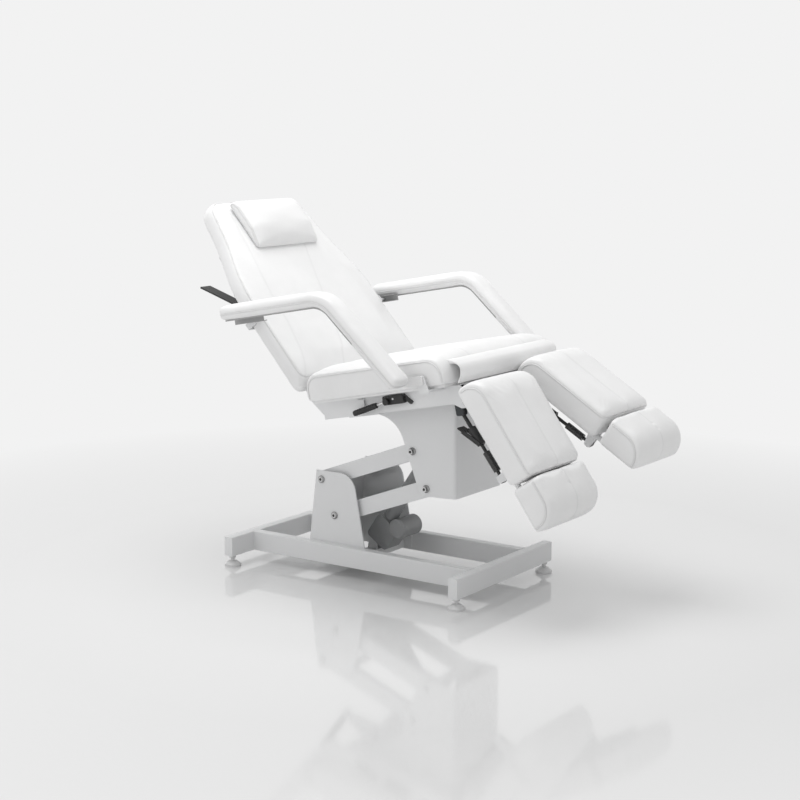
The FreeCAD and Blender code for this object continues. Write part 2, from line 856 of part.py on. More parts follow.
def base_tube(label, length, holes, hole_radius):
    """Make a capped rectangular tube along Y with round holes in its underside."""
    body = plate(label, SECTION, length)
    round_corners(body, SECTION, "base_edge_round")
    pocket(body, BORE_SECTION, "%s - 2 * base_tube_wall" % length)
    bore(body, holes, hole_radius, "XY_Plane", "base_tube_high")
    return body


for end, sign in (("front", ""), ("rear", "-")):
    bar = base_tube(
        "base_crossbar_" + end,
        "base_width",
        [("0", foot_line), ("0", "-(%s)" % foot_line)],
        "foot_stud_radius + running_gap",
    )
    finish(bar, base_frame, x="%s(base_length - base_tube_wide) / 2" % sign)
for side, sign in (("near", "-"), ("far", "")):
    rail = base_tube(
        "base_rail_" + side, "base_length - 2 * base_tube_wide", [("0", "brace_place")], "drain_radius"
    )
    finish(rail, base_frame, y="%sbase_rail_spacing / 2" % sign, rotation=Rotation(Vector(0, 0, 1), 90))

FOOT = [
    ("0", "0"),
    ("foot_radius", "0"),
    ("foot_radius", "foot_edge_height"),
    ("foot_hub_radius", "foot_height"),
    ("foot_stud_radius", "foot_height"),
    ("foot_stud_radius", "base_ground_gap - body_gap - foot_nut_height"),
    ("foot_nut_radius", "base_ground_gap - body_gap - foot_nut_height"),
    ("foot_nut_radius", "base_ground_gap - body_gap"),
    ("foot_stud_radius", "base_ground_gap - body_gap"),
    ("foot_stud_radius", "foot_height + foot_stud_length"),
    ("0", "foot_height + foot_stud_length"),
]
for end, x_sign in (("front", ""), ("rear", "-")):
    for side, y_sign in (("near", "-"), ("far", "")):
        foot = turned_body("levelling_foot_%s_%s" % (end, side), FOOT)
        finish(
            foot,
            turned(value("base_centre_x"), 0, 0),
            x="%s(base_length - base_tube_wide) / 2" % x_sign,
            y="%s(%s)" % (y_sign, foot_line),
        )

# Actuator mount: a cross tube between the tower plates with a forked lug and its pin.
tower_inside = "tower_width - 2 * tower_sheet"
mount_tube = box(
    "mount_tube",
    "mount_tube_wide",
    tower_inside,
    "mount_tube_high",
    "-mount_tube_wide / 2",
    "-(%s) / 2" % tower_inside,
    "-mount_drop",
)
ear_outline = [
    ("-mount_ear_width / 2", "-mount_drop + mount_tube_high"),
    ("mount_ear_width / 2", "-mount_drop + mount_tube_high"),
    ("mount_ear_round", "mount_ear_round"),
    ("-mount_ear_round", "mount_ear_round"),
]
mount_ears = cheeks(
    "mount_ear",
    ear_outline,
    [([ear_outline[2], ear_outline[3]], "mount_ear_round - body_gap")],
    "actuator_eye_width / 2 + body_gap",
    "mount_ear_thick",
)
mount_pin_half = "actuator_eye_width / 2 + body_gap + mount_ear_thick"
mount_pin = rod("mount_pin", "pin_radius", "2 * (%s)" % mount_pin_half, "0", mount_pin_half, "0", ALONG_Y)
finish(fuse("actuator_mount", [mount_tube] + mount_ears + [mount_pin]), turned(actuator_pivot.x, actuator_pivot.z, 0))

# Lift tower: one folded sheet, open towards the foot end.
tower = plate(
    "lift_tower",
    [
        ("-tower_foot_rear", "-tower_pivot_height - tower_foot_depth"),
        ("tower_foot_front", "-tower_pivot_height - tower_foot_depth"),
        ("tower_foot_front", "-tower_pivot_height"),
        ("tower_top_front", "tower_top_height"),
        ("-tower_top_rear", "tower_top_height"),
        ("-tower_foot_rear", "-tower_pivot_height"),
    ],
    "tower_width",
)
pocket(
    tower,
    [
        ("-tower_foot_rear + tower_sheet", "-tower_pivot_height - tower_foot_depth - cut_overrun"),
        ("tower_foot_front + cut_overrun", "-tower_pivot_height - tower_foot_depth - cut_overrun"),
        ("tower_foot_front + cut_overrun", "tower_top_height + cut_overrun"),
        ("-tower_top_rear + tower_sheet", "tower_top_height + cut_overrun"),
        ("-tower_top_rear + tower_sheet", "tower_top_height"),
        ("-tower_foot_rear + tower_sheet", "-tower_pivot_height"),
    ],
    tower_inside,
)
pocket(
    tower,
    rectangle(
        "-tower_foot_rear - cut_overrun",
        "0",
        "tower_top_height - tower_rear_drop",
        "tower_top_height + cut_overrun",
    ),
    tower_inside,
)
round_corners(tower, [("tower_top_front", "tower_top_height")], "tower_top_round")
bore(tower, [("0", "0"), ("-link_offset_x", "link_offset_z")], "shaft_radius")
tower_frame = turned(lower_pivot.x, lower_pivot.z, 0)
finish(tower, tower_frame)
finish(
    group(
        "tower_pivot_shafts",
        [
            headed_shaft("tower_low_shaft", "shaft_radius", "tower_width / 2"),
            headed_shaft("tower_high_shaft", "shaft_radius", "tower_width / 2", "-link_offset_x", "link_offset_z"),
        ],
    ),
    tower_frame,
)

# Parallelogram arms: flat capped tubes, bushes through their ends and a brace between them.
ARM = rectangle("-arm_end_reach", "arm_length + arm_end_reach", "-arm_bar_high / 2", "arm_bar_high / 2")
tower_bush = "tower_width - 2 * tower_sheet - 2 * body_gap"
column_bush = "column_width - 2 * column_sheet - 2 * body_gap"
brace_length = "2 * arm_bar_centre - arm_bar_thick"
for level, frame in (("upper", upper_arm_frame), ("lower", lower_arm_frame)):
    for side, sign in (("near", "-"), ("far", "")):
        bar = plate("%s_arm_%s" % (level, side), ARM, "arm_bar_thick")
        round_corners(bar, ARM, "arm_end_round")
        pocket(
            bar,
            rectangle(
                "bush_radius + 2 * arm_bar_wall",
                "arm_length - bush_radius - 2 * arm_bar_wall",
                "-arm_bar_high / 2 + arm_bar_wall",
                "arm_bar_high / 2 - arm_bar_wall",
            ),
            "arm_bar_thick - 2 * arm_bar_wall",
        )
        bore(bar, [("0", "0"), ("arm_length", "0")], "bush_radius")
        bore(bar, [("arm_length / 2", "0")], "drain_radius", "XY_Plane", "arm_bar_high")
        finish(bar, frame, y="%sarm_bar_centre" % sign)
    pieces = [
        ring(level + "_tower_bush", "bush_radius", "shaft_radius + running_gap", tower_bush),
        ring(level + "_brace", "brace_radius", "brace_bore_radius", brace_length, "brace_place"),
    ]
    if level == "lower":
        pieces.append(ring("lower_column_bush", "bush_radius", "shaft_radius + running_gap", column_bush, "arm_length"))
    else:
        half_bush = "(%s) / 2 - actuator_eye_width / 2 - mount_ear_thick" % column_bush
        for side, sign in (("near", "-"), ("far", "")):
            pieces.append(
                ring(
                    "upper_column_bush_" + side,
                    "bush_radius",
                    "shaft_radius + body_gap",
                    half_bush,
                    "arm_length",
                    "%s((%s) / 2 - (%s) / 2)" % (sign, column_bush, half_bush),
                )
            )
    finish(group(level + "_arm_tubes", pieces), frame)

# Column: a folded sheet with a flared neck, its pivot shafts and the tilt spring's pin.
COLUMN = [
    ("-column_rear_low", "-column_foot_drop"),
    ("column_front", "-column_front_low"),
    ("column_front", "column_front_high"),
    ("-column_crest_back", "column_crest_height"),
    ("-column_tip_back", "column_tip_high"),
    ("-column_tip_back", "column_tip_low"),
    ("-column_neck_back", "column_neck_height"),
]
column = plate("column_shell", COLUMN, "column_width")
pocket(
    column,
    rectangle(
        "-column_tip_back - cut_overrun",
        "column_front - column_sheet",
        "-column_foot_drop - cut_overrun",
        "column_front_high + cut_overrun",
    ),
    "column_width - 2 * column_sheet",
)
round_corners(column, [COLUMN[0]], "column_foot_round")
round_corners(column, [COLUMN[6]], "column_neck_round")
round_corners(
    column,
    [
        ("column_front - column_sheet", "column_width / 2 - column_sheet"),
        ("column_front - column_sheet", "-column_width / 2 + column_sheet"),
    ],
    "column_bend_round - column_sheet",
    2,
)
round_corners(
    column, [("column_front", "column_width / 2"), ("column_front", "-column_width / 2")], "column_bend_round", 2
)
bore(column, [("0", "0"), ("-link_offset_x", "link_offset_z")], "shaft_radius")
bore(column, [("tilt_pivot_x", "tilt_pivot_z")], "tilt_shaft_radius")
finish(column, column_frame)
tilt_lug_face = "column_width / 2 + body_gap"
tilt_shaft_half = "%s + tilt_lug_thick + body_gap" % tilt_lug_face
anchor_half = "column_width / 2 - column_sheet"
finish(
    group(
        "column_pivot_shafts",
        [
            headed_shaft("column_low_shaft", "shaft_radius", "column_width / 2"),
            headed_shaft("column_high_shaft", "shaft_radius", "column_width / 2", "-link_offset_x", "link_offset_z"),
            headed_shaft("tilt_shaft", "tilt_shaft_radius", tilt_shaft_half, "tilt_pivot_x", "tilt_pivot_z"),
            rod(
                "tilt_anchor_pin",
                "spring_pin_radius",
                "2 * (%s)" % anchor_half,
                "tilt_anchor_x",
                anchor_half,
                "tilt_anchor_z",
                ALONG_Y,
            ),
        ],
    ),
    column_frame,
)

# Actuator: housing with gearbox, motor and outer tube; rod with a wide top eye.
gearbox_outline = rectangle("gearbox_start", "gearbox_start + gearbox_length", "-gearbox_low", "gearbox_top")
gearbox = plate("gearbox", gearbox_outline, "gearbox_wide")
round_corners(gearbox, gearbox_outline, "gearbox_round")
motor = turned_body(
    "motor",
    [
        ("0", "-motor_near"),
        ("motor_radius - motor_edge", "-motor_near"),
        ("motor_radius", "-motor_near + motor_edge"),
        ("motor_radius", "motor_far - motor_edge"),
        ("motor_radius - motor_edge", "motor_far"),
        ("0", "motor_far"),
    ],
)
locate(motor, Rotation(Vector(1, 0, 0), -90), "motor_along", "0", "-motor_drop")
actuator_foot = rod(
    "actuator_foot", "mount_ear_round - body_gap", "actuator_eye_width", "0", "actuator_eye_width / 2", "0", ALONG_Y
)
actuator_neck = box(
    "actuator_neck",
    "actuator_tube_start",
    "actuator_eye_width",
    "2 * pin_radius + 2 * eye_wall",
    "0",
    "-actuator_eye_width / 2",
    "-pin_radius - eye_wall",
)
actuator_tube = rod(
    "actuator_tube",
    "actuator_tube_radius",
    "actuator_tube_end - actuator_tube_start",
    "actuator_tube_start",
    "0",
    "0",
    ALONG_X,
)
housing = fuse("actuator_solid", [gearbox, motor, actuator_foot, actuator_neck, actuator_tube])
housing_bores = fuse(
    "actuator_bores",
    [
        rod(
            "actuator_foot_bore",
            "pin_radius + running_gap",
            "actuator_eye_width + 2 * cut_overrun",
            "0",
            "actuator_eye_width / 2 + cut_overrun",
            "0",
            ALONG_Y,
        ),
        rod(
            "actuator_tube_bore",
            "actuator_rod_radius + running_gap",
            "actuator_tube_end - actuator_bore_start + cut_overrun",
            "actuator_bore_start",
            "0",
            "0",
            ALONG_X,
        ),
    ],
)
finish(cut("actuator_housing", housing, housing_bores), actuator_frame)
top_eye_bore = "shaft_radius + actuator_eye_play"
actuator_top_eye = ring(
    "actuator_top_eye",
    "%s + actuator_eye_wall" % top_eye_bore,
    top_eye_bore,
    "actuator_eye_width",
)
actuator_bar = rod(
    "actuator_bar",
    "actuator_rod_radius",
    "actuator_rod_length - (%s) - actuator_eye_wall / 2" % top_eye_bore,
    "-actuator_rod_length",
    "0",
    "0",
    ALONG_X,
)
finish(fuse("actuator_rod", [actuator_bar, actuator_top_eye]), actuator_frame * turned(actuator_length, 0, 0))

# Seat frame: an inverted tray with ears, lugs and outriggers.
tray_low = "tray_top - tray_depth"
tray_under = "tray_top - tray_sheet"
tray = plate("tray_shell", rectangle("seat_rear", "seat_front", tray_low, "tray_top"), "tray_width")
pocket(
    tray,
    rectangle("seat_rear - cut_overrun", "seat_front + cut_overrun", tray_low + " - cut_overrun", tray_under),
    "tray_width - 2 * tray_sheet",
)
round_corners(
    tray, [("tray_width / 2", "tray_top"), ("-tray_width / 2", "tray_top")], "tray_bend_round", 0
)
ear_inner = "back_bar_centre + back_bar_thick / 2 + body_gap"
back_ears = cheeks(
    "back_ear",
    [
        ("back_hinge_x - back_ear_round", "back_hinge_z - back_ear_round"),
        ("seat_rear", tray_low),
        ("back_ear_root", tray_low),
        ("back_ear_root", tray_under),
        ("seat_rear - side_puff - body_gap", tray_under),
        ("back_hinge_x + back_ear_round", "back_hinge_z + back_ear_round"),
        ("back_hinge_x - back_ear_round", "back_hinge_z + back_ear_round"),
    ],
    [
        (
            [
                ("back_hinge_x - back_ear_round", "back_hinge_z - back_ear_round"),
                ("back_hinge_x + back_ear_round", "back_hinge_z + back_ear_round"),
                ("back_hinge_x - back_ear_round", "back_hinge_z + back_ear_round"),
            ],
            "back_ear_round - body_gap",
        )
    ],
    ear_inner,
    "back_ear_thick",
    "0",
    [("back_hinge_x", "back_hinge_z")],
    "back_hinge_radius + running_gap",
)
tilt_lugs = cheeks(
    "tilt_lug",
    [
        ("seat_pivot_x - tilt_lug_round", "seat_pivot_z - tilt_lug_round"),
        ("seat_pivot_x + tilt_lug_round", "seat_pivot_z - tilt_lug_round"),
        ("seat_pivot_x + tilt_lug_half", tray_under),
        ("seat_pivot_x - tilt_lug_half", tray_under),
    ],
    [
        (
            [
                ("seat_pivot_x - tilt_lug_round", "seat_pivot_z - tilt_lug_round"),
                ("seat_pivot_x + tilt_lug_round", "seat_pivot_z - tilt_lug_round"),
            ],
            "tilt_lug_round / 2",
        )
    ],
    tilt_lug_face,
    "tilt_lug_thick",
    "0",
    [("seat_pivot_x", "seat_pivot_z")],
    "tilt_shaft_radius + running_gap",
)
spring_eye_radius = "spring_pin_radius + eye_wall"
spring_fork = "spring_eye_width / 2 + body_gap"
spring_pin_half = "%s + spring_lug_thick" % spring_fork
head_x = "(seat_pivot_x - tilt_spring_arm_x)"
head_z = "(seat_pivot_z + tilt_spring_arm_z)"
tilt_spring_lugs = cheeks(
    "tilt_spring_lug",
    rectangle(
        "%s - %s" % (head_x, spring_eye_radius),
        "%s + %s" % (head_x, spring_eye_radius),
        "%s - %s" % (head_z, spring_eye_radius),
        tray_under,
    ),
    [],
    spring_fork,
    "spring_lug_thick",
)
tilt_spring_pin = rod(
    "tilt_spring_pin",
    "spring_pin_radius",
    "2 * (%s)" % spring_pin_half,
    head_x,
    spring_pin_half,
    head_z,
    ALONG_Y,
)
back_spring_lugs = cheeks(
    "back_spring_lug",
    [
        ("back_spring_x - %s" % spring_eye_radius, "back_spring_z - %s" % spring_eye_radius),
        ("back_spring_x + %s" % spring_eye_radius, "back_spring_z - %s" % spring_eye_radius),
        ("back_ear_root", tray_low),
        ("back_ear_root", tray_under),
        ("seat_rear", tray_under),
        ("back_spring_x - %s" % spring_eye_radius, "back_spring_z + %s" % spring_eye_radius),
    ],
    [],
    spring_fork,
    "spring_lug_thick",
    "spring_centre_y",
)
back_spring_pin = rod(
    "back_spring_pin",
    "spring_pin_radius",
    "2 * (%s)" % spring_pin_half,
    "back_spring_x",
    "spring_centre_y + %s" % spring_pin_half,
    "back_spring_z",
    ALONG_Y,
)
HINGE_LUG = [
    ("leg_hinge_x - hinge_lug_back", tray_low),
    ("leg_hinge_x - hinge_lug_round", "leg_hinge_z - hinge_lug_round"),
    ("leg_hinge_x + hinge_lug_round", "leg_hinge_z - hinge_lug_round"),
    ("leg_hinge_x + hinge_lug_round", "leg_hinge_z + hinge_lug_round"),
    ("seat_front", tray_under),
    ("leg_hinge_x - hinge_lug_back", tray_under),
]
hinge_lugs = cheeks(
    "leg_hinge_lug",
    HINGE_LUG,
    [([HINGE_LUG[2], HINGE_LUG[3]], "hinge_lug_round / 2")],
    "tray_width / 2 - hinge_lug_thick",
    "hinge_lug_thick",
    "0",
    [("leg_hinge_x", "leg_hinge_z")],
    "leg_rod_radius",
)
centre_lug = plate("leg_hinge_centre", HINGE_LUG, "2 * hinge_lug_centre")
round_corners(centre_lug, [HINGE_LUG[2], HINGE_LUG[3]], "hinge_lug_round / 2")
bore(centre_lug, [("leg_hinge_x", "leg_hinge_z")], "leg_rod_radius")
outrigger_out = "outrigger_lug_inner + outrigger_lug_thick"
outriggers = []
for side, sign in (("near", "-"), ("far", "")):
    low_y = "-(%s)" % outrigger_out if sign else "tray_width / 2 - tray_lip_wide"
    outriggers.append(
        box(
            "outrigger_" + side,
            "outrigger_wide",
            "%s - tray_width / 2 + tray_lip_wide" % outrigger_out,
            "outrigger_thick",
            "arm_hinge_x - outrigger_lead",
            low_y,
            "tray_top - outrigger_thick",
        )
    )
lug_low = "tray_top - outrigger_thick"
OUTRIGGER_LUG = [
    ("arm_hinge_x - outrigger_lead", lug_low),
    ("arm_hinge_x - outrigger_lead + outrigger_wide", lug_low),
    ("arm_hinge_x + outrigger_lug_round", "arm_hinge_z + outrigger_lug_round"),
    ("arm_hinge_x - outrigger_lug_round", "arm_hinge_z + outrigger_lug_round"),
]
outrigger_lugs = cheeks(
    "outrigger_lug",
    OUTRIGGER_LUG,
    [([OUTRIGGER_LUG[2], OUTRIGGER_LUG[3]], "outrigger_lug_round / 2")],
    "outrigger_lug_inner",
    "outrigger_lug_thick",
    "0",
    [("arm_hinge_x", "arm_hinge_z")],
    "arm_pin_radius + running_gap",
)
lips = [
    box(
        "tray_lip_" + side,
        "tray_lip_end - tray_lip_start",
        "tray_lip_wide",
        "tray_sheet",
        "tray_lip_start",
        low_y,
        tray_low + " - tray_sheet",
    )
    for side, low_y in (("near", "-tray_width / 2"), ("far", "tray_width / 2 - tray_lip_wide"))
]
hook = [
    box(
        "hook_arm",
        "hook_end - hook_start",
        "hook_out",
        "hook_thick",
        "hook_start",
        "-tray_width / 2 - hook_out",
        tray_under + " - hook_high / 4",
    ),
    box(
        "hook_tab",
        "hook_end - hook_start",
        "hook_thick",
        "hook_high",
        "hook_start",
        "-tray_width / 2 - hook_out",
        tray_under + " + hook_thick - hook_high / 4 - hook_high",
    ),
]
tray_pieces = [tray, centre_lug, tilt_spring_pin, back_spring_pin]
tray_pieces += back_ears + tilt_lugs + tilt_spring_lugs + back_spring_lugs + hinge_lugs
tray_pieces += outriggers + outrigger_lugs + lips + hook
finish(fuse("seat_tray", tray_pieces), seat_frame)

# Seat board and seat cushion.
board = plate(
    "seat_board",
    rectangle(
        "seat_rear + board_inset",
        "seat_front - board_inset",
        "-seat_width / 2 + board_inset",
        "seat_width / 2 - board_inset",
    ),
    "board_thick - tray_top",
    "XY_Plane",
)
finish(board, seat_frame, z="(board_thick + tray_top) / 2")
left, right, depth = value("seat_rear"), value("seat_front"), value("seat_depth")
seat_points = [(left, 0.0), (right, 0.0), (right, depth), (left, depth)]
seat_radii = [value(name) for name in ("seat_low_round", "seat_low_round", "seat_front_round", "seat_rear_round")]
seat_loft = side_cushion(
    "seat_cushion",
    seat_points,
    seat_radii,
    (0.0, value("seat_front_swell_share"), 1.0, 0.15),
    value("seat_width / 2"),
    value("seat_crown"),
    (-value("seat_channel_place"), value("seat_channel_place")),
)
recess = Part.makeBox(
    value("seat_front - seat_rear - 2 * board_inset + 2 * body_gap"),
    value("seat_width - 2 * board_inset + 2 * body_gap"),
    value("board_thick + body_gap + cut_overrun"),
    Vector(value("seat_rear + board_inset - body_gap"), value("board_inset - seat_width / 2 - body_gap"), -value("cut_overrun")),
)
finish(shaped("seat_cushion", seat_loft.cut(recess)), seat_frame)
roll_x = "(seat_front + seat_crown * seat_front_swell_share - seat_front_round)"
roll_z = "(seat_depth + seat_crown - seat_front_round)"
roll_reach = "((seat_front_round + body_gap) / cos((flap_high_angle - flap_low_angle) / 2))"
FLAP = [
    ("%s + %s * cos(flap_low_angle)" % (roll_x, roll_reach), "%s + %s * sin(flap_low_angle)" % (roll_z, roll_reach)),
    ("flap_crease_x - flap_thick", "flap_crease_z - flap_thick / 2"),
    ("flap_front_x - flap_thick", "flap_front_z"),
    ("flap_foot_x - flap_thick", "flap_foot_z + flap_thick / 2"),
    ("flap_foot_x", "flap_foot_z"),
    ("flap_front_x", "flap_front_z"),
    ("flap_crease_x", "flap_crease_z"),
    ("%s + %s * cos(flap_high_angle)" % (roll_x, roll_reach), "%s + %s * sin(flap_high_angle)" % (roll_z, roll_reach)),
]
flap = plate("seat_front_flap", FLAP, "flap_width")
round_corners(flap, [FLAP[5]], "flap_round")
round_corners(flap, [FLAP[6]], "flap_round / 2")
finish(flap, seat_frame)
rod_half = "tray_width / 2 + leg_rod_overhang"
hinge_rod = turned_body(
    "leg_hinge_rod",
    [("0", "-(%s)" % rod_half), ("leg_rod_radius", "-(%s)" % rod_half), ("leg_rod_radius", rod_half), ("0", rod_half)],
)
finish(hinge_rod, seat_frame, x="leg_hinge_x", z="leg_hinge_z", rotation=ALONG_Y)

# Brackets under the seat front that carry the leg struts.
bracket_outline = [
    ("strut_top_x - bracket_low", "strut_top_z - bracket_low"),
    ("strut_top_x + bracket_low", "strut_top_z - bracket_low"),
    ("strut_top_x + bracket_half", tray_under),
    ("strut_top_x - bracket_half", tray_under),
]
brackets = []
strut_fork = "strut_eye_width / 2 + body_gap"
for side, sign in (("near", "-"), ("far", "")):
    pair = cheeks(
        "strut_bracket_" + side,
        bracket_outline,
        [([bracket_outline[0], bracket_outline[1]], "bracket_low / 2")],
        strut_fork,
        "bracket_thick",
        "%sstrut_y" % sign,
    )
    pin = rod(
        "strut_pin_" + side,
        "strut_pin_radius",
        "2 * (%s + bracket_thick)" % strut_fork,
        "strut_top_x",
        "%sstrut_y + %s + bracket_thick" % (sign, strut_fork),
        "strut_top_z",
        ALONG_Y,
    )
    brackets.append(fuse("strut_bracket_pair_" + side, pair + [pin]))
finish(group("leg_strut_brackets", brackets), seat_frame)

# Black release block on the near side of the tray, with its lever.
block_outline = rectangle(
    "release_start",
    "release_start + release_length",
    "release_centre_z - release_high / 2",
    "release_centre_z + release_high / 2",
)
block = plate("release_body", block_outline, "release_thick")
round_corners(block, block_outline, "release_round")
locate(block, UP, "0", "-tray_width / 2 - release_thick / 2", "0")
tab = box(
    "release_tab",
    "release_tab_length + release_tab_high",
    "release_thick / 2",
    "release_tab_high",
    "release_start + release_length - release_tab_high",
    "-tray_width / 2 - release_thick / 2",
    "release_centre_z + release_tab_high / 2",
    Rotation(Vector(0, -1, 0), value("release_tab_angle")),
)
lever_pin = rod(
    "seat_lever_pin",
    "seat_lever_rod_radius",
    "seat_lever_gap + seat_lever_boss",
    "seat_lever_pivot_x",
    "-tray_width / 2 - release_thick",
    "seat_lever_pivot_z",
    ALONG_Y,
)
finish(fuse("release_block", [block, tab, lever_pin]), seat_frame)
lever_frame = seat_frame * turned(
    value("seat_lever_pivot_x"), value("seat_lever_pivot_z"), value("seat_lever_angle"), value("-tray_width / 2 - release_thick - seat_lever_gap - seat_lever_boss / 2")
)
lever_hub = ring(
    "seat_lever_hub", "seat_lever_boss", "seat_lever_rod_radius + running_gap", "seat_lever_boss"
)
lever_rod = rod(
    "seat_lever_rod",
    "seat_lever_rod_radius",
    "seat_lever_rod_length",
    "-seat_lever_boss / 2 - seat_lever_rod_length",
    "0",
    "0",
    ALONG_X,
)
lever_grip = rod(
    "seat_lever_grip",
    "seat_lever_grip_radius",
    "seat_lever_grip_length",
    "-seat_lever_boss / 2 - seat_lever_rod_length - seat_lever_grip_length",
    "0",
    "0",
    ALONG_X,
)
finish(fuse("seat_release_lever", [lever_hub, lever_rod, lever_grip]), lever_frame)


def moved(frame, distance):
    """Return a frame shifted along its own x axis."""
    return frame * turned(distance, 0, 0)


def gas_spring(prefix, frame, length, body_length, rod_length, middle_y, play):
    """Make a gas spring's cylinder at its foot and its rod at its head, both along the frame's x axis."""
    solid = fuse(
        prefix + "_cylinder_solid",
        [
            ring(prefix + "_foot_eye", spring_eye_radius, "spring_pin_radius + running_gap", "spring_eye_width"),
            rod(
                prefix + "_tube",
                "spring_body_radius",
                "%s - spring_neck" % body_length,
                "spring_neck",
                "0",
                "0",
                ALONG_X,
            ),
            rod(
                prefix + "_neck",
                "spring_body_radius - eye_wall",
                "spring_neck - spring_pin_radius",
                "spring_pin_radius + eye_wall / 2",
                "0",
                "0",
                ALONG_X,
            ),
        ],
    )
    hole = rod(
        prefix + "_tube_bore",
        "spring_rod_radius + running_gap",
        "%s + cut_overrun" % body_length,
        "spring_pin_radius + 3 * eye_wall",
        "0",
        "0",
        ALONG_X,
    )
    finish(cut(prefix + "_cylinder", solid, hole), frame, y=middle_y)
    eye_hole = "spring_pin_radius + %s" % play
    eye = ring(prefix + "_head_eye", "%s + eye_wall" % eye_hole, eye_hole, "spring_eye_width")
    bar = rod(
        prefix + "_bar",
        "spring_rod_radius",
        "%s - (%s) - eye_wall / 2" % (rod_length, eye_hole),
        "-%s" % rod_length,
        "0",
        "0",
        ALONG_X,
    )
    finish(fuse(prefix + "_rod", [eye, bar]), moved(frame, length), y=middle_y)


gas_spring(
    "tilt_spring", tilt_spring_frame, tilt_spring_length, "tilt_spring_body", "tilt_spring_reach", "0", "tilt_spring_play"
)

# Back rest: two bars, a cross bar, a board and the cushion.
back_low = "back_rear - back_bar_high"
foot_x = "back_bar_tail"
bar_outline = rectangle("-back_bar_end", foot_x, back_low, "back_rear")
hinge_x = "(-back_hinge_s)"
for side, sign in (("near", "-"), ("far", "")):
    bar = plate("back_tube_" + side, bar_outline, "back_bar_thick")
    round_corners(bar, [bar_outline[1], bar_outline[2]], "back_bar_round")
    pocket(
        bar,
        rectangle(
            "-back_bar_end + back_bar_wall",
            "-back_bar_wall",
            back_low + " + back_bar_wall",
            "back_rear - back_bar_wall",
        ),
        "back_bar_thick - 2 * back_bar_wall",
    )
    bore(bar, [("-back_bar_end / 2", "0")], "drain_radius", "XY_Plane", "back_bar_high - back_rear")
    locate(bar, UP, "0", "%sback_bar_centre" % sign, "0")
    inner = "back_bar_centre - back_bar_thick / 2"
    pin_length = "back_bar_thick + back_ear_thick + 2 * body_gap + back_bar_wall"
    low_y = {"near": "-(%s)" % inner, "far": "%s + %s" % (inner, pin_length)}[side]
    pin = rod("back_pin_" + side, "back_hinge_radius", pin_length, hinge_x, low_y, "back_hinge_n", ALONG_Y)
    strap_out = "peg_strap_out + peg_strap_thick"
    strap_start = "back_bar_centre"
    base_y = {"near": "-(%s)" % strap_out, "far": strap_start}[side]
    strap = box(
        "peg_strap_" + side,
        "peg_strap_high",
        "%s - %s" % (strap_out, strap_start),
        "peg_strap_thick",
        "-peg_s - peg_strap_high / 2",
        base_y,
        "back_rear - peg_strap_rear_gap - peg_strap_thick",
    )
    wall_y = {"near": "-(%s)" % strap_out, "far": "peg_strap_out"}[side]
    wall = box(
        "peg_wall_" + side,
        "peg_strap_high",
        "peg_strap_thick",
        "peg_n + peg_strap_end - back_rear + peg_strap_rear_gap + peg_strap_thick",
        "-peg_s - peg_strap_high / 2",
        wall_y,
        "back_rear - peg_strap_rear_gap - peg_strap_thick",
    )
    peg_y = {"near": "-peg_strap_out", "far": "peg_reach"}[side]
    peg = rod("peg_" + side, "peg_radius", "peg_reach - peg_strap_out", "-peg_s", peg_y, "peg_n", ALONG_Y)
    pieces = [bar, pin, strap, wall, peg]
    if side == "near":
        lever_lug = rectangle(
            "-back_lever_s - back_lever_boss",
            "-back_lever_s + back_lever_boss",
            "back_lever_n - back_lever_boss",
            back_low,
        )
        pieces += cheeks(
            "back_lever_lug",
            lever_lug,
            [([lever_lug[0], lever_lug[1]], "back_lever_boss / 2")],
            "back_lever_lug_gap / 2",
            "spring_lug_thick",
            "-back_bar_centre",
            [("-back_lever_s", "back_lever_n")],
            "back_lever_rod_radius + running_gap",
        )
    finish(fuse("back_bar_" + side, pieces), back_frame)
cross_half = "back_bar_centre - back_bar_thick / 2"
cross = box(
    "cross_tube",
    "cross_bar_wide",
    "2 * (%s)" % cross_half,
    "back_bar_high",
    "-cross_bar_place - cross_bar_wide / 2",
    "-(%s)" % cross_half,
    back_low,
)
lug_z = "(back_hinge_n - spring_lug_depth)"
cross_lugs = cheeks(
    "cross_lug",
    rectangle(
        "-cross_bar_place - %s" % spring_eye_radius,
        "-cross_bar_place + %s" % spring_eye_radius,
        "%s - %s" % (lug_z, spring_eye_radius),
        back_low,
    ),
    [],
    spring_fork,
    "spring_lug_thick",
    "spring_centre_y",
)
cross_pin = rod(
    "cross_pin",
    "spring_pin_radius",
    "2 * (%s)" % spring_pin_half,
    "-cross_bar_place",
    "spring_centre_y + %s" % spring_pin_half,
    lug_z,
    ALONG_Y,
)
finish(fuse("back_cross_bar", [cross, cross_pin] + cross_lugs), back_frame)
gas_spring(
    "back_spring",
    back_spring_frame,
    back_spring_length,
    "back_spring_body",
    "back_spring_reach",
    "spring_centre_y",
    "back_spring_play",
)


def back_outline(inset):
    """Return the back's plan outline, drawn in by a formula."""
    half = [
        ("-back_foot - %s" % inset, "back_half_width - %s" % inset),
        ("-back_waist", "back_half_width - %s" % inset),
        ("-back_shoulder", "back_shoulder_half - %s" % inset),
        ("-back_top + %s" % inset, "back_top_half - %s" % inset),
    ]
    return half + [(x, "-(%s)" % y) for x, y in reversed(half)]


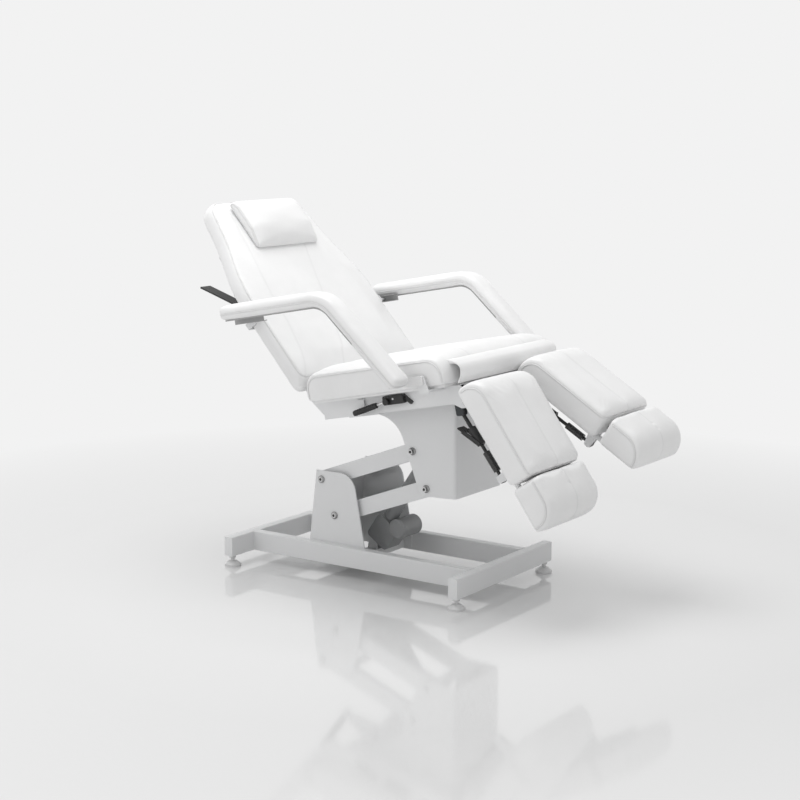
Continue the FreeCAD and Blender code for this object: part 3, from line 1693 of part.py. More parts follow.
back_plan = back_outline("board_inset")
back_board = plate("back_board", back_plan, "board_thick", "XY_Plane")
round_corners(back_board, [back_plan[3], back_plan[4]], "back_top_round - board_inset", 2)
finish(back_board, back_frame, z="back_rear + board_thick / 2")
plan_points = [(value(x), value(y)) for x, y in back_outline("0")]
plan_radii = [
    value(name) for name in ("back_foot_round", "back_waist_round", "back_waist_round", "back_top_round")
]
plan_radii = plan_radii + plan_radii[::-1]
rear, crown = value("back_rear"), value("back_crown")
side_puff, seam, seam_round = value("side_puff"), value("seam_inset"), value("back_seam_round")
foot_swell, half_width = value("back_foot_swell"), value("back_half_width")
low_share, middle_share, high_share = BACK_SIDE_SHARES
levels = [
    (rear, -side_puff, 0.0),
    (rear * (1 - low_share), 0.0, foot_swell * high_share / 2),
    (rear * (1 - middle_share), side_puff, foot_swell),
    (rear * (1 - high_share), 0.0, -seam_round / 3),
    (0.0, -side_puff, -seam_round * middle_share),
]
for rise, inset in zip(BACK_RISE_SHARES, BACK_INSET_SHARES):
    levels.append((crown * rise, -inset * half_width, -seam_round * middle_share - inset * half_width))
wires = []
for level, out, foot_out in levels:
    offsets = [out] * 7 + [foot_out]
    outline = offset_outline(plan_points, offsets)
    shrink = [max(radius + min(out, 0.0), seam) for radius in plan_radii]
    wires.append(rounded_wire(outline, shrink, lambda point, z=level: Vector(point.x, point.y, z)))
back_loft = Part.makeLoft(wires, True, True)
board_points = [(value(x), value(y)) for x, y in back_outline("(board_inset - body_gap)")]
board_radii = [value("body_gap")] * 8
board_face = Part.Face(
    rounded_wire(board_points, board_radii, lambda point: Vector(point.x, point.y, rear - value("cut_overrun")))
)
board_room = board_face.extrude(Vector(0, 0, value("cut_overrun + board_thick + body_gap")))
finish(shaped("back_cushion", back_loft.cut(board_room)), back_frame)

# Back release lever: a rod under the near bar with a wide wing at its outer end.
wing_frame = back_frame * turned(-value("back_lever_s"), value("back_lever_n"), value("back_lever_angle"))
wing_half = "back_lever_width / 2"
wing_rod = rod(
    "back_lever_rod",
    "back_lever_rod_radius",
    "back_lever_out + %s - back_lever_inner" % wing_half,
    "0",
    "-back_lever_inner",
    "0",
    ALONG_Y,
)
wing = box(
    "back_lever_wing",
    "back_lever_length",
    "back_lever_width",
    "back_lever_thick",
    "-back_lever_length",
    "-back_lever_out - %s" % wing_half,
    "-back_lever_thick / 2",
)
finish(fuse("back_release_lever", [wing_rod, wing]), wing_frame)

# Pillow on the upper part of the back.
pillow_points = [
    (-value("pillow_high"), 0.0),
    (-value("pillow_low"), 0.0),
    (-value("pillow_low + pillow_edge"), value("pillow_rise * 0.55")),
    (-value("pillow_low + pillow_slope"), value("pillow_rise")),
    (-value("pillow_high - pillow_edge * 4"), value("pillow_rise")),
    (-value("pillow_high"), value("pillow_rise * 0.7")),
]
pillow_radii = [value(name) for name in ("pillow_edge", "pillow_edge", "pillow_low_round", "pillow_round", "pillow_round", "pillow_low_round")]
pillow_loft = side_cushion(
    "pillow", pillow_points, pillow_radii, (0.0, 0.4, 0.8, 1.0, 0.8, 0.4), value("pillow_half_width"), value("pillow_crown"),
    (), "pillow_seam",
)
finish(shaped("pillow", pillow_loft), back_frame, z="back_crown + body_gap")

# Armrests: bent pads on steel strips, hinged at the seat and guided on pegs of the back.
turn = "arm_bend_angle"


def arm_path(offset, rear_gap, front_gap):
    """Return rear, corner and front points of a line beside the armrest's middle line."""
    return [
        ("-arm_rear_reach + %s" % rear_gap, "arm_height + (%s)" % offset),
        ("-arm_corner_back + (%s) * tan(%s / 2)" % (offset, turn), "arm_height + (%s)" % offset),
        (
            "-arm_corner_back + (arm_lower_length - (%s)) * cos(%s) + (%s) * sin(%s)" % (front_gap, turn, offset, turn),
            "arm_height - (arm_lower_length - (%s)) * sin(%s) + (%s) * cos(%s)" % (front_gap, turn, offset, turn),
        ),
    ]


def bent_bar(label, low, high, rear_gap, front_gap, width):
    """Make a bent bar between two offsets from the armrest's middle line."""
    outer = arm_path(high, rear_gap, front_gap)
    inner = arm_path(low, rear_gap, front_gap)
    outline = inner + outer[::-1]
    body = plate(label, outline, width)
    round_corners(body, [inner[1]], "arm_bend_round + (%s)" % low)
    round_corners(body, [outer[1]], "arm_bend_round + (%s)" % high)
    return body, [inner[0], inner[2], outer[0], outer[2]]


peg_spot = arm_frame.inverse().multVec(spot(back_frame, -value("peg_s"), value("peg_n")))
strip_high = "-arm_pad_thick / 2"
strip_low = "-arm_pad_thick / 2 - arm_strip_thick"
cheek_inner = "outrigger_lug_inner + outrigger_lug_thick + body_gap"
for side, sign in (("near", "-"), ("far", "")):
    pad, ends = bent_bar("armrest_pad_" + side, "-arm_pad_thick / 2", "arm_pad_thick / 2", "0", "0", "arm_pad_width")
    round_corners(pad, ends, "arm_pad_end_round")
    half = value("arm_pad_width / 2")
    names = [
        "Edge%d" % index
        for index, edge in enumerate(pad.Shape.Edges, 1)
        if all(abs(abs(vertex.Point.y) - half) < 1e-4 for vertex in edge.Vertexes)
        and abs(edge.Vertexes[0].Point.y - edge.Vertexes[-1].Point.y) < half
    ]
    soften(pad, names, "arm_pad_soft")
    finish(pad, arm_frame, y="%sarm_centre" % sign)
    strip, ends = bent_bar(
        "arm_strip_" + side, strip_low, strip_high, "arm_strip_end_gap", "arm_strip_end_gap", "arm_strip_width"
    )
    locate(strip, UP, "0", "%sarm_centre" % sign, "0")
    strip_edge = "arm_centre - arm_strip_width / 2 + arm_strip_thick"
    cheek_outline = rectangle("-arm_cheek_reach", "arm_cheek_round", "-arm_cheek_round", "arm_cheek_round")
    cheek = plate("arm_cheek_" + side, cheek_outline, "arm_cheek_thick")
    round_corners(cheek, cheek_outline, "arm_cheek_round / 2")
    locate(cheek, UP, "0", "%s(%s + arm_cheek_thick / 2)" % (sign, cheek_inner), "0")
    tie_end = arm_path(strip_low, "0", "arm_strip_end_gap + arm_tie_length")[2]
    tie_width = "%s - (%s)" % (strip_edge, cheek_inner)
    tie_y = "-(%s)" % strip_edge if sign else cheek_inner
    tie = box(
        "arm_tie_" + side,
        "arm_tie_length",
        tie_width,
        "arm_strip_thick",
        tie_end[0],
        tie_y,
        tie_end[1],
        Rotation(Vector(0, -1, 0), -value("arm_bend_angle")),
    )
    pin_span = "outrigger_lug_thick + body_gap + arm_cheek_thick"
    pin_y = "-outrigger_lug_inner" if sign else "outrigger_lug_inner + %s" % pin_span
    pin = rod("arm_pin_" + side, "arm_pin_radius", pin_span, "0", pin_y, "0", ALONG_Y)
    guide_half = "peg_radius + arm_guide_play"
    guide = plate(
        "arm_guide_" + side,
        rectangle(
            "-arm_guide_depth",
            "0",
            "-(%s) - arm_guide_wall" % guide_half,
            "%s + arm_guide_wall" % guide_half,
        ),
        "arm_guide_length",
        "YZ_Plane",
    )
    pocket(
        guide,
        rectangle("-arm_guide_depth - cut_overrun", "-arm_guide_wall", "-(%s)" % guide_half, guide_half),
        "arm_guide_length + 2 * cut_overrun",
        "YZ_Plane",
    )
    flip = Rotation(Vector(0, 0, 1), 180) if sign else UP
    guide_y = value("%s(arm_centre - arm_pad_width / 2 - body_gap)" % sign)
    guide_x = value("-arm_rear_reach + arm_guide_length / 2")
    guide.Placement = Placement(Vector(guide_x, guide_y, peg_spot.z), flip)
    ledge_start = "arm_centre - arm_pad_width / 2 - body_gap - arm_guide_wall"
    ledge_y = "-(%s)" % strip_edge if sign else ledge_start
    ledge = box(
        "arm_ledge_" + side,
        "arm_guide_length - 2 * arm_strip_end_gap",
        "%s - (%s)" % (strip_edge, ledge_start),
        "arm_strip_thick",
        "-arm_rear_reach + arm_strip_end_gap",
        ledge_y,
        "arm_height - arm_pad_thick / 2 - arm_strip_thick",
    )
    finish(fuse("armrest_rail_" + side, [strip, cheek, tie, pin, guide, ledge]), arm_frame)

# Leg rests: a cushion on a steel frame with guide tubes, a foot rest on rods, and a strut.
leg_points = [
    (value("leg_top"), value("leg_rear")),
    (value("leg_end"), value("leg_rear")),
    (value("leg_end"), value("leg_front")),
    (value("leg_top"), value("leg_front")),
]
leg_radii = [value(name) for name in ("leg_rear_round", "leg_rear_round", "leg_corner_round", "leg_top_round")]
foot_points = [
    (value("foot_pad_start"), value("leg_rear")),
    (value("foot_pad_end"), value("leg_rear")),
    (value("foot_pad_end"), value("leg_front")),
    (value("foot_pad_start"), value("leg_front")),
]
foot_radii = [
    value(name) for name in ("foot_pad_start_round", "foot_pad_start_round", "foot_pad_end_round", "foot_pad_start_round")
]
plate_low = "leg_rear - leg_plate_thick"
tube_level = "leg_rear - leg_plate_thick - leg_tube_radius + leg_tube_sink"
gusset_outline = [
    ("-leg_gusset_round", "-leg_gusset_round"),
    ("leg_gusset_round", "-leg_gusset_round"),
    ("leg_gusset_length", plate_low),
    ("leg_plate_start", plate_low),
    ("-leg_gusset_round", "leg_gusset_round / 2"),
]
lug_reach = "strut_eye_radius"
lug_outline = [
    ("strut_foot_x - %s" % lug_reach, "strut_foot_z - %s" % lug_reach),
    ("strut_foot_x + %s" % lug_reach, "strut_foot_z - %s" % lug_reach),
    ("strut_foot_x + strut_lug_half", plate_low),
    ("strut_foot_x - strut_lug_half", plate_low),
]
for side, sign in (("near", "-"), ("far", "")):
    frame = leg_frames[side]
    middle = "%sleg_centre" % sign
    loft = side_cushion(
        "leg_cushion_" + side,
        leg_points,
        leg_radii,
        (0.0, 0.2, 1.0, 0.2),
        value("leg_width / 2"),
        value("leg_crown"),
        (0.0,),
    )
    finish(shaped("leg_cushion_" + side, loft), frame, y=middle)
    leg_plate = plate(
        "leg_plate_" + side,
        rectangle("leg_plate_start", "leg_plate_end", "-leg_plate_width / 2", "leg_plate_width / 2"),
        "leg_plate_thick",
        "XY_Plane",
    )
    locate(leg_plate, UP, "0", "0", "leg_rear - leg_plate_thick / 2")
    gussets = cheeks(
        "leg_gusset_" + side,
        gusset_outline,
        [([gusset_outline[0], gusset_outline[1]], "leg_gusset_round / 2")],
        "leg_gusset_spread - leg_gusset_thick",
        "leg_gusset_thick",
        "0",
        [("0", "0")],
        "leg_rod_radius + running_gap",
    )
    tubes = [
        ring(
            "leg_tube_%s_%s" % (side, hand),
            "leg_tube_radius",
            "foot_rod_radius + running_gap",
            "leg_plate_end - leg_tube_start",
            "(leg_plate_end + leg_tube_start) / 2",
            "%sleg_tube_spread" % hand_sign,
            tube_level,
            ALONG_X,
        )
        for hand, hand_sign in (("low", "-"), ("high", ""))
    ]
    lug_middle = "%s(strut_y - leg_centre)" % sign
    lugs = cheeks(
        "strut_lug_" + side, lug_outline, [([lug_outline[0], lug_outline[1]], "strut_eye_radius / 2")],
        strut_fork, "strut_lug_thick", lug_middle,
    )
    lug_pin = rod(
        "strut_lug_pin_" + side,
        "strut_pin_radius",
        "2 * (%s + strut_lug_thick)" % strut_fork,
        "strut_foot_x",
        "%s + %s + strut_lug_thick" % (lug_middle, strut_fork),
        "strut_foot_z",
        ALONG_Y,
    )
    finish(fuse("leg_frame_" + side, [leg_plate] + gussets + tubes + lugs + [lug_pin]), frame, y=middle)

    slid = moved(frame, value("foot_far_extra") if side == "far" else 0.0)
    foot_loft = side_cushion(
        "foot_cushion_" + side,
        foot_points,
        foot_radii,
        (0.0, 0.3, 1.0, 0.2),
        value("leg_width / 2"),
        value("leg_crown"),
        (0.0,),
    )
    finish(shaped("foot_cushion_" + side, foot_loft), slid, y=middle)
    foot_plate = box(
        "foot_plate_" + side,
        "foot_slide_length",
        "foot_slide_width",
        "foot_slide_thick",
        "foot_pad_start + foot_slide_gap",
        "-foot_slide_width / 2",
        "leg_rear - foot_slide_thick",
    )
    pieces = [foot_plate]
    for hand, hand_sign in (("low", "-"), ("high", "")):
        pieces.append(
            rod(
                "foot_rod_%s_%s" % (side, hand),
                "foot_rod_radius",
                "foot_rod_length",
                "foot_pad_start + foot_slide_length / 2 - foot_rod_length",
                "%sleg_tube_spread" % hand_sign,
                tube_level,
                ALONG_X,
            )
        )
        pieces.append(
            box(
                "foot_saddle_%s_%s" % (side, hand),
                "foot_slide_length / 2 - foot_slide_gap",
                "2 * foot_rod_radius",
                "leg_rear - foot_slide_thick - (%s)" % tube_level,
                "foot_pad_start + foot_slide_gap",
                "%sleg_tube_spread - foot_rod_radius" % hand_sign,
                tube_level,
            )
        )
    finish(fuse("foot_slide_" + side, pieces), slid, y=middle)

    strut = strut_frames[side]
    strut_line = "%sstrut_y" % sign
    head = rod(
        "strut_head_" + side,
        "strut_head_radius",
        "strut_head_end - strut_head_start",
        "strut_head_start",
        "0",
        "0",
        ALONG_X,
    )
    link = rod(
        "strut_link_" + side,
        "strut_link_radius",
        "strut_head_start - strut_eye_radius + eye_wall",
        "strut_eye_radius - eye_wall / 2",
        "0",
        "0",
        ALONG_X,
    )
    top_eye = ring("strut_top_eye_" + side, "strut_eye_radius", "strut_pin_radius + running_gap", "strut_eye_width")
    inner_rod = rod(
        "strut_inner_" + side,
        "strut_rod_radius",
        "strut_rod_end - strut_head_end + eye_wall",
        "strut_head_end - eye_wall",
        "0",
        "0",
        ALONG_X,
    )
    upper = fuse("strut_upper_" + side, [head, link, top_eye, inner_rod])
    paddle_hole = rod(
        "strut_paddle_bore_" + side,
        "paddle_pin_radius + running_gap",
        "2 * (strut_head_radius + cut_overrun)",
        "strut_head_end - paddle_boss",
        "strut_head_radius + cut_overrun",
        "0",
        ALONG_Y,
    )
    finish(cut("leg_strut_rod_" + side, upper, paddle_hole), strut, y=strut_line)
    foot_eye_hole = "strut_pin_radius + strut_eye_play"
    barrel = rod(
        "strut_barrel_" + side,
        "strut_body_radius",
        "strut_body_length - strut_neck",
        "-strut_body_length",
        "0",
        "0",
        ALONG_X,
    )
    barrel_neck = rod(
        "strut_neck_" + side,
        "strut_rod_radius",
        "strut_neck - (%s)" % foot_eye_hole,
        "-strut_neck - eye_wall / 4",
        "0",
        "0",
        ALONG_X,
    )
    foot_eye = ring("strut_foot_eye_" + side, "%s + eye_wall" % foot_eye_hole, foot_eye_hole, "strut_eye_width")
    barrel_bore = rod(
        "strut_barrel_bore_" + side,
        "strut_rod_radius + running_gap",
        "strut_body_length - strut_bore_end + cut_overrun",
        "-strut_body_length - cut_overrun",
        "0",
        "0",
        ALONG_X,
    )
    finish(
        cut("leg_strut_cylinder_" + side, fuse("strut_lower_" + side, [barrel, barrel_neck, foot_eye]), barrel_bore),
        moved(strut, strut_lengths[side]),
        y=strut_line,
    )
    paddle_frame = moved(strut, value("strut_head_end - paddle_boss")) * turned(0, 0, value("paddle_angle"))
    paddle_face = "strut_head_radius + body_gap"
    blade = box(
        "paddle_blade_" + side,
        "paddle_length - paddle_start",
        "paddle_width",
        "paddle_thick",
        "-paddle_length",
        "-paddle_width / 2",
        "-paddle_thick / 2",
    )
    arms = cheeks(
        "paddle_arm_" + side,
        rectangle("-paddle_start - paddle_boss", "paddle_boss", "-paddle_boss", "paddle_boss"),
        [],
        paddle_face,
        "paddle_cheek_thick",
    )
    paddle_pin = rod(
        "paddle_pin_" + side,
        "paddle_pin_radius",
        "2 * (%s + paddle_cheek_thick)" % paddle_face,
        "0",
        "%s + paddle_cheek_thick" % paddle_face,
        "0",
        ALONG_Y,
    )
    finish(fuse("leg_release_paddle_" + side, [blade, paddle_pin] + arms), paddle_frame, y=strut_line)

document.recompute()
for item in document.Objects:
    if "Invalid" in item.State or "Error" in item.State:
        raise ValueError("%s: %s" % (item.Label, item.State))
for item in nodes:
    if item.Shape.isNull() or not item.Shape.isValid():
        raise ValueError(item.Label + ": shape is not valid")
os.makedirs("parts", exist_ok=True)
for item in nodes:
    item.Shape.exportStep(os.path.join("parts", item.Label + ".step"))
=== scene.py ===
"""Looks of the podiatry chair: white leatherette padding, finishes of the frame, and the studio.

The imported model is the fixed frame.  Each soft solid gives way to a padded piece made from it,
every carried-over node gets its finish, and small hardware is added where the chair shows it.
All lengths are metres in the row frame: X from the head end to the foot end, Z up.
"""

import json
import logging
import math
from dataclasses import dataclass, field
from enum import Enum
from typing import Callable, Optional, Sequence

import bmesh
import bpy
import numpy as np
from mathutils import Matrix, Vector
from mathutils.kdtree import KDTree


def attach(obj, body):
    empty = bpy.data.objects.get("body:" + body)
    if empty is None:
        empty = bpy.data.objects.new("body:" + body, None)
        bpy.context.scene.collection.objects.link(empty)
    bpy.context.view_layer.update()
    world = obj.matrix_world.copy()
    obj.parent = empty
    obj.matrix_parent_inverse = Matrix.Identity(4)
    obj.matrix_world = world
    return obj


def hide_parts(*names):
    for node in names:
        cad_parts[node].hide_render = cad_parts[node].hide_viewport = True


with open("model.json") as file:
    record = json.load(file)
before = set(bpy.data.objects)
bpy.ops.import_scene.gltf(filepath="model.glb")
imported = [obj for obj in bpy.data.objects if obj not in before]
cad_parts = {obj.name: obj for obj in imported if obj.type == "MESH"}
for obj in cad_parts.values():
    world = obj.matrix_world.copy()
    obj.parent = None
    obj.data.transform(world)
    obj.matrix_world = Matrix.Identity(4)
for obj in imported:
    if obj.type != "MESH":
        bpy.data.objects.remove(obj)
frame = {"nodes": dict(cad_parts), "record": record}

LOG = logging.getLogger("podiatry_chair")


class Side(Enum):
    """The two sides of the chair: near the camera, and far from it."""

    NEAR = "near"
    FAR = "far"

    @property
    def sign(self) -> float:
        """Sign of Y on this side."""
        return -1.0 if self is Side.NEAR else 1.0


class Slot(Enum):
    """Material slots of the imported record."""

    PAINT = "frame_paint"
    STEEL = "bright_steel"
    PLASTIC = "black_plastic"
    SPRING = "spring_paint"
    FOOT = "foot_plastic"
    ACTUATOR = "actuator_plastic"
    BOARD = "board"
    UPHOLSTERY = "upholstery"


@dataclass(frozen=True)
class Place:
    """A local frame in the X-Z plane.

    Args:
        x: Origin's X.
        z: Origin's Z.
        angle: Lift of the local x axis towards +Z, in degrees.
    """

    x: float
    z: float
    angle: float

    def point(self, along: float, across: float, out: float) -> Vector:
        """Return a point of the row frame.

        Args:
            along: Distance on the local x axis.
            across: The row frame's Y.
            out: Distance on the local z axis.
        """
        turn = math.radians(self.angle)
        return Vector(
            (
                self.x + along * math.cos(turn) - out * math.sin(turn),
                across,
                self.z + along * math.sin(turn) + out * math.cos(turn),
            )
        )

    def local(self, point: Sequence[float]) -> tuple[float, float]:
        """Return a point's distances on the local x and z axes."""
        turn = math.radians(self.angle)
        along, up = point[0] - self.x, point[2] - self.z
        run = along * math.cos(turn) + up * math.sin(turn)
        out = up * math.cos(turn) - along * math.sin(turn)
        return (run, out)

    def outward(self) -> Vector:
        """Return the local z axis."""
        return self.point(0.0, 0.0, 1.0) - self.point(0.0, 0.0, 0.0)

    def slid(self, distance: float) -> "Place":
        """Return this frame moved along its own x axis."""
        start = self.point(distance, 0.0, 0.0)
        return Place(start.x, start.z, self.angle)


SEAT = Place(-0.20108, 0.55180, 11.4)
BACK = Place(-0.22809, 0.61974, -48.7)
ARM = Place(0.19139, 0.65440, 10.4)
ACROSS = Vector((0.0, 1.0, 0.0))
UP = Vector((0.0, 0.0, 1.0))
LEGS = {Side.NEAR: Place(0.28680, 0.59101, -54.5), Side.FAR: Place(0.28680, 0.59101, -31.5)}


# Small helpers


def select_only(*items: bpy.types.Object) -> None:
    """Select these objects and nothing else; the first becomes active."""
    bpy.ops.object.select_all(action="DESELECT")
    for item in items:
        item.select_set(True)
    bpy.context.view_layer.objects.active = items[0]


def apply_modifier(item: bpy.types.Object, kind: str, **settings: object) -> None:
    """Add one modifier and apply it.

    Args:
        item: The mesh object.
        kind: Blender's modifier type.
        settings: Values of the modifier's properties.
    """
    select_only(item)
    modifier = item.modifiers.new(kind.title(), kind)
    for name, value in settings.items():
        setattr(modifier, name, value)
    bpy.ops.object.modifier_apply(modifier=modifier.name)


def settle(item: bpy.types.Object) -> None:
    """Move an object's place into its mesh, so that it sits at the origin unturned."""
    select_only(item)
    bpy.ops.object.transform_apply(location=True, rotation=True, scale=True)


def shade(item: bpy.types.Object, angle: float = 40.0) -> None:
    """Shade a mesh smooth, except over edges sharper than an angle in degrees."""
    select_only(item)
    bpy.ops.object.shade_smooth_by_angle(angle=math.radians(angle))


def dress(item: bpy.types.Object, material: bpy.types.Material) -> None:
    """Give an object one material."""
    item.data.materials.clear()
    item.data.materials.append(material)


def publish(item: bpy.types.Object, body: str, slot: Slot, *stands_for: str) -> None:
    """Let a finished piece ride on its body.

    Args:
        item: The finished piece, at the origin.
        body: Name of the CAD body.
        slot: The record's material slot; not used.
        stands_for: CAD nodes that the piece replaces.
    """
    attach(item, body)
    if stands_for:
        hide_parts(*stands_for)
    LOG.info("%s rides on %s with %d faces", item.name, body, len(item.data.polygons))


def coordinates(item: bpy.types.Object) -> np.ndarray:
    """Return a mesh's points, one row each."""
    flat = np.empty(len(item.data.vertices) * 3, np.float32)
    item.data.vertices.foreach_get("co", flat)
    return flat.reshape(-1, 3).astype(float)


def place_points(item: bpy.types.Object, points: np.ndarray) -> None:
    """Put a mesh's points at these places."""
    item.data.vertices.foreach_set("co", points.astype(np.float32).ravel())
    item.data.update()


def distances(item: bpy.types.Object, spots: Sequence[Vector], limit: float = 0.02) -> np.ndarray:
    """Return each mesh point's distance to the nearest spot.

    Args:
        item: The mesh.
        spots: Points of a line.
        limit: Distance given to everything outside the line's own box, grown by this.
    """
    points = coordinates(item)
    away = np.full(len(points), limit)
    if not spots:
        return away
    line = np.array([list(spot) for spot in spots])
    inside = np.all((points > line.min(0) - limit) & (points < line.max(0) + limit), axis=1)
    tree = KDTree(len(spots))
    for number, spot in enumerate(spots):
        tree.insert(spot, number)
    tree.balance()
    for index in np.nonzero(inside)[0]:
        away[index] = tree.find(points[index])[2]
    return away


# Finishes


class Graph:
    """Short way to lay out the nodes of one material."""

    def __init__(self, name: str) -> None:
        """Start a material with a Principled shader and object coordinates."""
        self.material = bpy.data.materials.new(name)
        self.material.use_nodes = True
        self.tree = self.material.node_tree
        self.shader = self.tree.nodes["Principled BSDF"]
        self.where = self.tree.nodes.new("ShaderNodeTexCoord").outputs["Object"]

    def add(self, kind: str, inputs: Optional[dict] = None, **settings: object) -> bpy.types.Node:
        """Add a node.

        Args:
            kind: Node type.
            inputs: Sockets by name or number; a socket is linked, anything else is set.
            settings: Properties of the node.

        Returns:
            The new node.
        """
        node = self.tree.nodes.new(kind)
        for name, value in settings.items():
            setattr(node, name, value)
        for name, value in (inputs or {}).items():
            if isinstance(value, bpy.types.NodeSocket):
                self.tree.links.new(value, node.inputs[name])
            else:
                node.inputs[name].default_value = value
        return node

    def stretch(self, scale: Sequence[float], turn: Sequence[float] = (0, 0, 0)) -> bpy.types.NodeSocket:
        """Return object coordinates turned and stretched by a Mapping node."""
        inputs = {"Vector": self.where, "Scale": scale, "Rotation": turn}
        return self.add("ShaderNodeMapping", inputs).outputs[0]

    def noise(
        self, scale: float, detail: float = 3.0, vector: Optional[bpy.types.NodeSocket] = None
    ) -> bpy.types.NodeSocket:
        """Return a noise value, with its scale in features per metre."""
        inputs = {"Vector": vector or self.where, "Scale": scale, "Detail": detail, "Roughness": 0.55}
        return self.add("ShaderNodeTexNoise", inputs).outputs[0]

    def cells(self, scale: float) -> bpy.types.NodeSocket:
        """Return a cell pattern's distance value, with its scale in cells per metre."""
        node = self.add("ShaderNodeTexVoronoi", {"Vector": self.where, "Scale": scale}, feature="F1")
        return node.outputs["Distance"]

    def span(
        self, value: bpy.types.NodeSocket, low: float, high: float, to_low: float, to_high: float
    ) -> bpy.types.NodeSocket:
        """Return a value mapped from one range to another, clamped."""
        names = ("Value", "From Min", "From Max", "To Min", "To Max")
        inputs = dict(zip(names, (value, low, high, to_low, to_high)))
        return self.add("ShaderNodeMapRange", inputs).outputs[0]

    def maths(self, operation: str, first: object, second: object = 0.0) -> bpy.types.NodeSocket:
        """Return the result of one maths step."""
        return self.add("ShaderNodeMath", {0: first, 1: second}, operation=operation).outputs[0]

    def mix(self, share: object, first: object, second: object) -> bpy.types.NodeSocket:
        """Return a mix of two colours."""
        node = self.add("ShaderNodeMix", data_type="RGBA")
        for number, value in ((0, share), (6, first), (7, second)):
            if isinstance(value, bpy.types.NodeSocket):
                self.tree.links.new(value, node.inputs[number])
            else:
                node.inputs[number].default_value = value
        return node.outputs[2]

    def bump(
        self,
        height: bpy.types.NodeSocket,
        strength: float,
        distance: float,
        under: Optional[bpy.types.NodeSocket] = None,
    ) -> bpy.types.NodeSocket:
        """Return a normal bumped by a height.

        Args:
            height: The height value.
            strength: Share of the full effect.
            distance: Height of 1, in metres.
            under: Normal of a coarser bump below this one.
        """
        inputs = {"Height": height, "Strength": strength, "Distance": distance}
        if under is not None:
            inputs["Normal"] = under
        return self.add("ShaderNodeBump", inputs).outputs[0]

    def attribute(self, name: str) -> bpy.types.NodeSocket:
        """Return a value stored on the piece's points."""
        return self.add("ShaderNodeAttribute", attribute_name=name).outputs["Fac"]

    def finish(self, **sockets: object) -> bpy.types.Material:
        """Set or link the shader's sockets and return the material.

        Args:
            sockets: Socket names with underscores for spaces.
        """
        for name, value in sockets.items():
            socket = self.shader.inputs[name.replace("_", " ")]
            if isinstance(value, bpy.types.NodeSocket):
                self.tree.links.new(value, socket)
            else:
                socket.default_value = value
        return self.material


def grey(level: float, tint: float = 0.0) -> tuple[float, float, float, float]:
    """Return a neutral colour, a little cooler by the tint."""
    return (level - tint, level, level + tint, 1.0)


@dataclass(frozen=True)
class Leatherette:
    """White vinyl leatherette with a fine pebble grain, soft wrinkles and painted shade in the seam
    valleys.
    """

    name: str = "leatherette"
    light: float = 0.86
    shade: float = 0.82
    # valley is the grey of the painted shade in the seam valleys.
    valley: float = 0.66
    grain: float = 620.0
    pebble: float = 210.0
    wrinkle: float = 26.0

    def build(self) -> bpy.types.Material:
        """Return the material."""
        g = Graph(self.name)
        cloud = g.span(g.noise(7.0, 4.0), 0.35, 0.65, 0.0, 1.0)
        skin = g.mix(cloud, grey(self.shade), grey(self.light))
        # Painted shade: the stored crease share darkens the seam valleys towards the valley grey.
        crease_shade = g.attribute("crease_shade")
        colour = g.mix(crease_shade, skin, grey(self.valley))
        folds = g.noise(self.wrinkle, 3.0, g.stretch((1.0, 0.35, 1.0)))
        pull = g.maths("MULTIPLY", crease_shade, g.noise(self.wrinkle * 6.0, 1.0))
        large = g.bump(g.maths("ADD", folds, pull), 0.28, 0.0022)
        pores = g.cells(self.grain)
        hills = g.noise(self.pebble, 2.0)
        fine = g.bump(g.maths("ADD", g.maths("MULTIPLY", pores, 0.6), hills), 0.22, 0.00035, large)
        rough = g.span(g.maths("ADD", hills, cloud), 0.4, 1.6, 0.36, 0.52)
        return g.finish(
            Base_Color=colour,
            Roughness=rough,
            Normal=fine,
            Specular_IOR_Level=0.45,
            Coat_Weight=0.08,
            Coat_Roughness=0.35,
        )


@dataclass(frozen=True)
class Piping:
    """Welt cord covered in the same leatherette, with a fine thread twist; it is set greyer than the
    leatherette as painted shade along the piping.
    """

    name: str = "leatherette_piping"
    # The level sits below the leatherette's grey as painted shade along the piping; the noise gives real
    # tone variation.
    level: float = 0.80

    def build(self) -> bpy.types.Material:
        """Return the material."""
        g = Graph(self.name)
        tone = g.span(g.noise(60.0, 3.0), 0.3, 0.7, 0.0, 1.0)
        colour = g.mix(tone, grey(self.level - 0.04), grey(self.level))
        normal = g.bump(g.noise(900.0, 2.0), 0.3, 0.0003)
        rough = g.span(tone, 0.0, 1.0, 0.4, 0.5)
        return g.finish(Base_Color=colour, Roughness=rough, Normal=normal, Specular_IOR_Level=0.45)


@dataclass(frozen=True)
class PowderCoat:
    """Light grey powder coat: orange peel, fine speckle and a faint, broadly mottled lift towards a paler
    grey.
    """

    name: str = "powder_coat"
    level: float = 0.78
    edge: float = 0.84

    def build(self) -> bpy.types.Material:
        """Return the material."""
        g = Graph(self.name)
        speckle = g.span(g.noise(1400.0, 1.0), 0.42, 0.58, 0.0, 1.0)
        broad = g.span(g.noise(5.0, 4.0), 0.35, 0.65, -0.012, 0.012)
        base = g.mix(speckle, grey(self.level - 0.012, 0.004), grey(self.level + 0.012, 0.004))
        lifted = g.mix(g.maths("ADD", broad, 0.03), base, grey(self.edge, 0.004))
        peel = g.bump(g.noise(420.0, 2.0), 0.18, 0.0003)
        rough = g.span(g.maths("ADD", g.noise(90.0, 3.0), speckle), 0.4, 1.6, 0.34, 0.46)
        return g.finish(Base_Color=lifted, Roughness=rough, Normal=peel, Specular_IOR_Level=0.5)


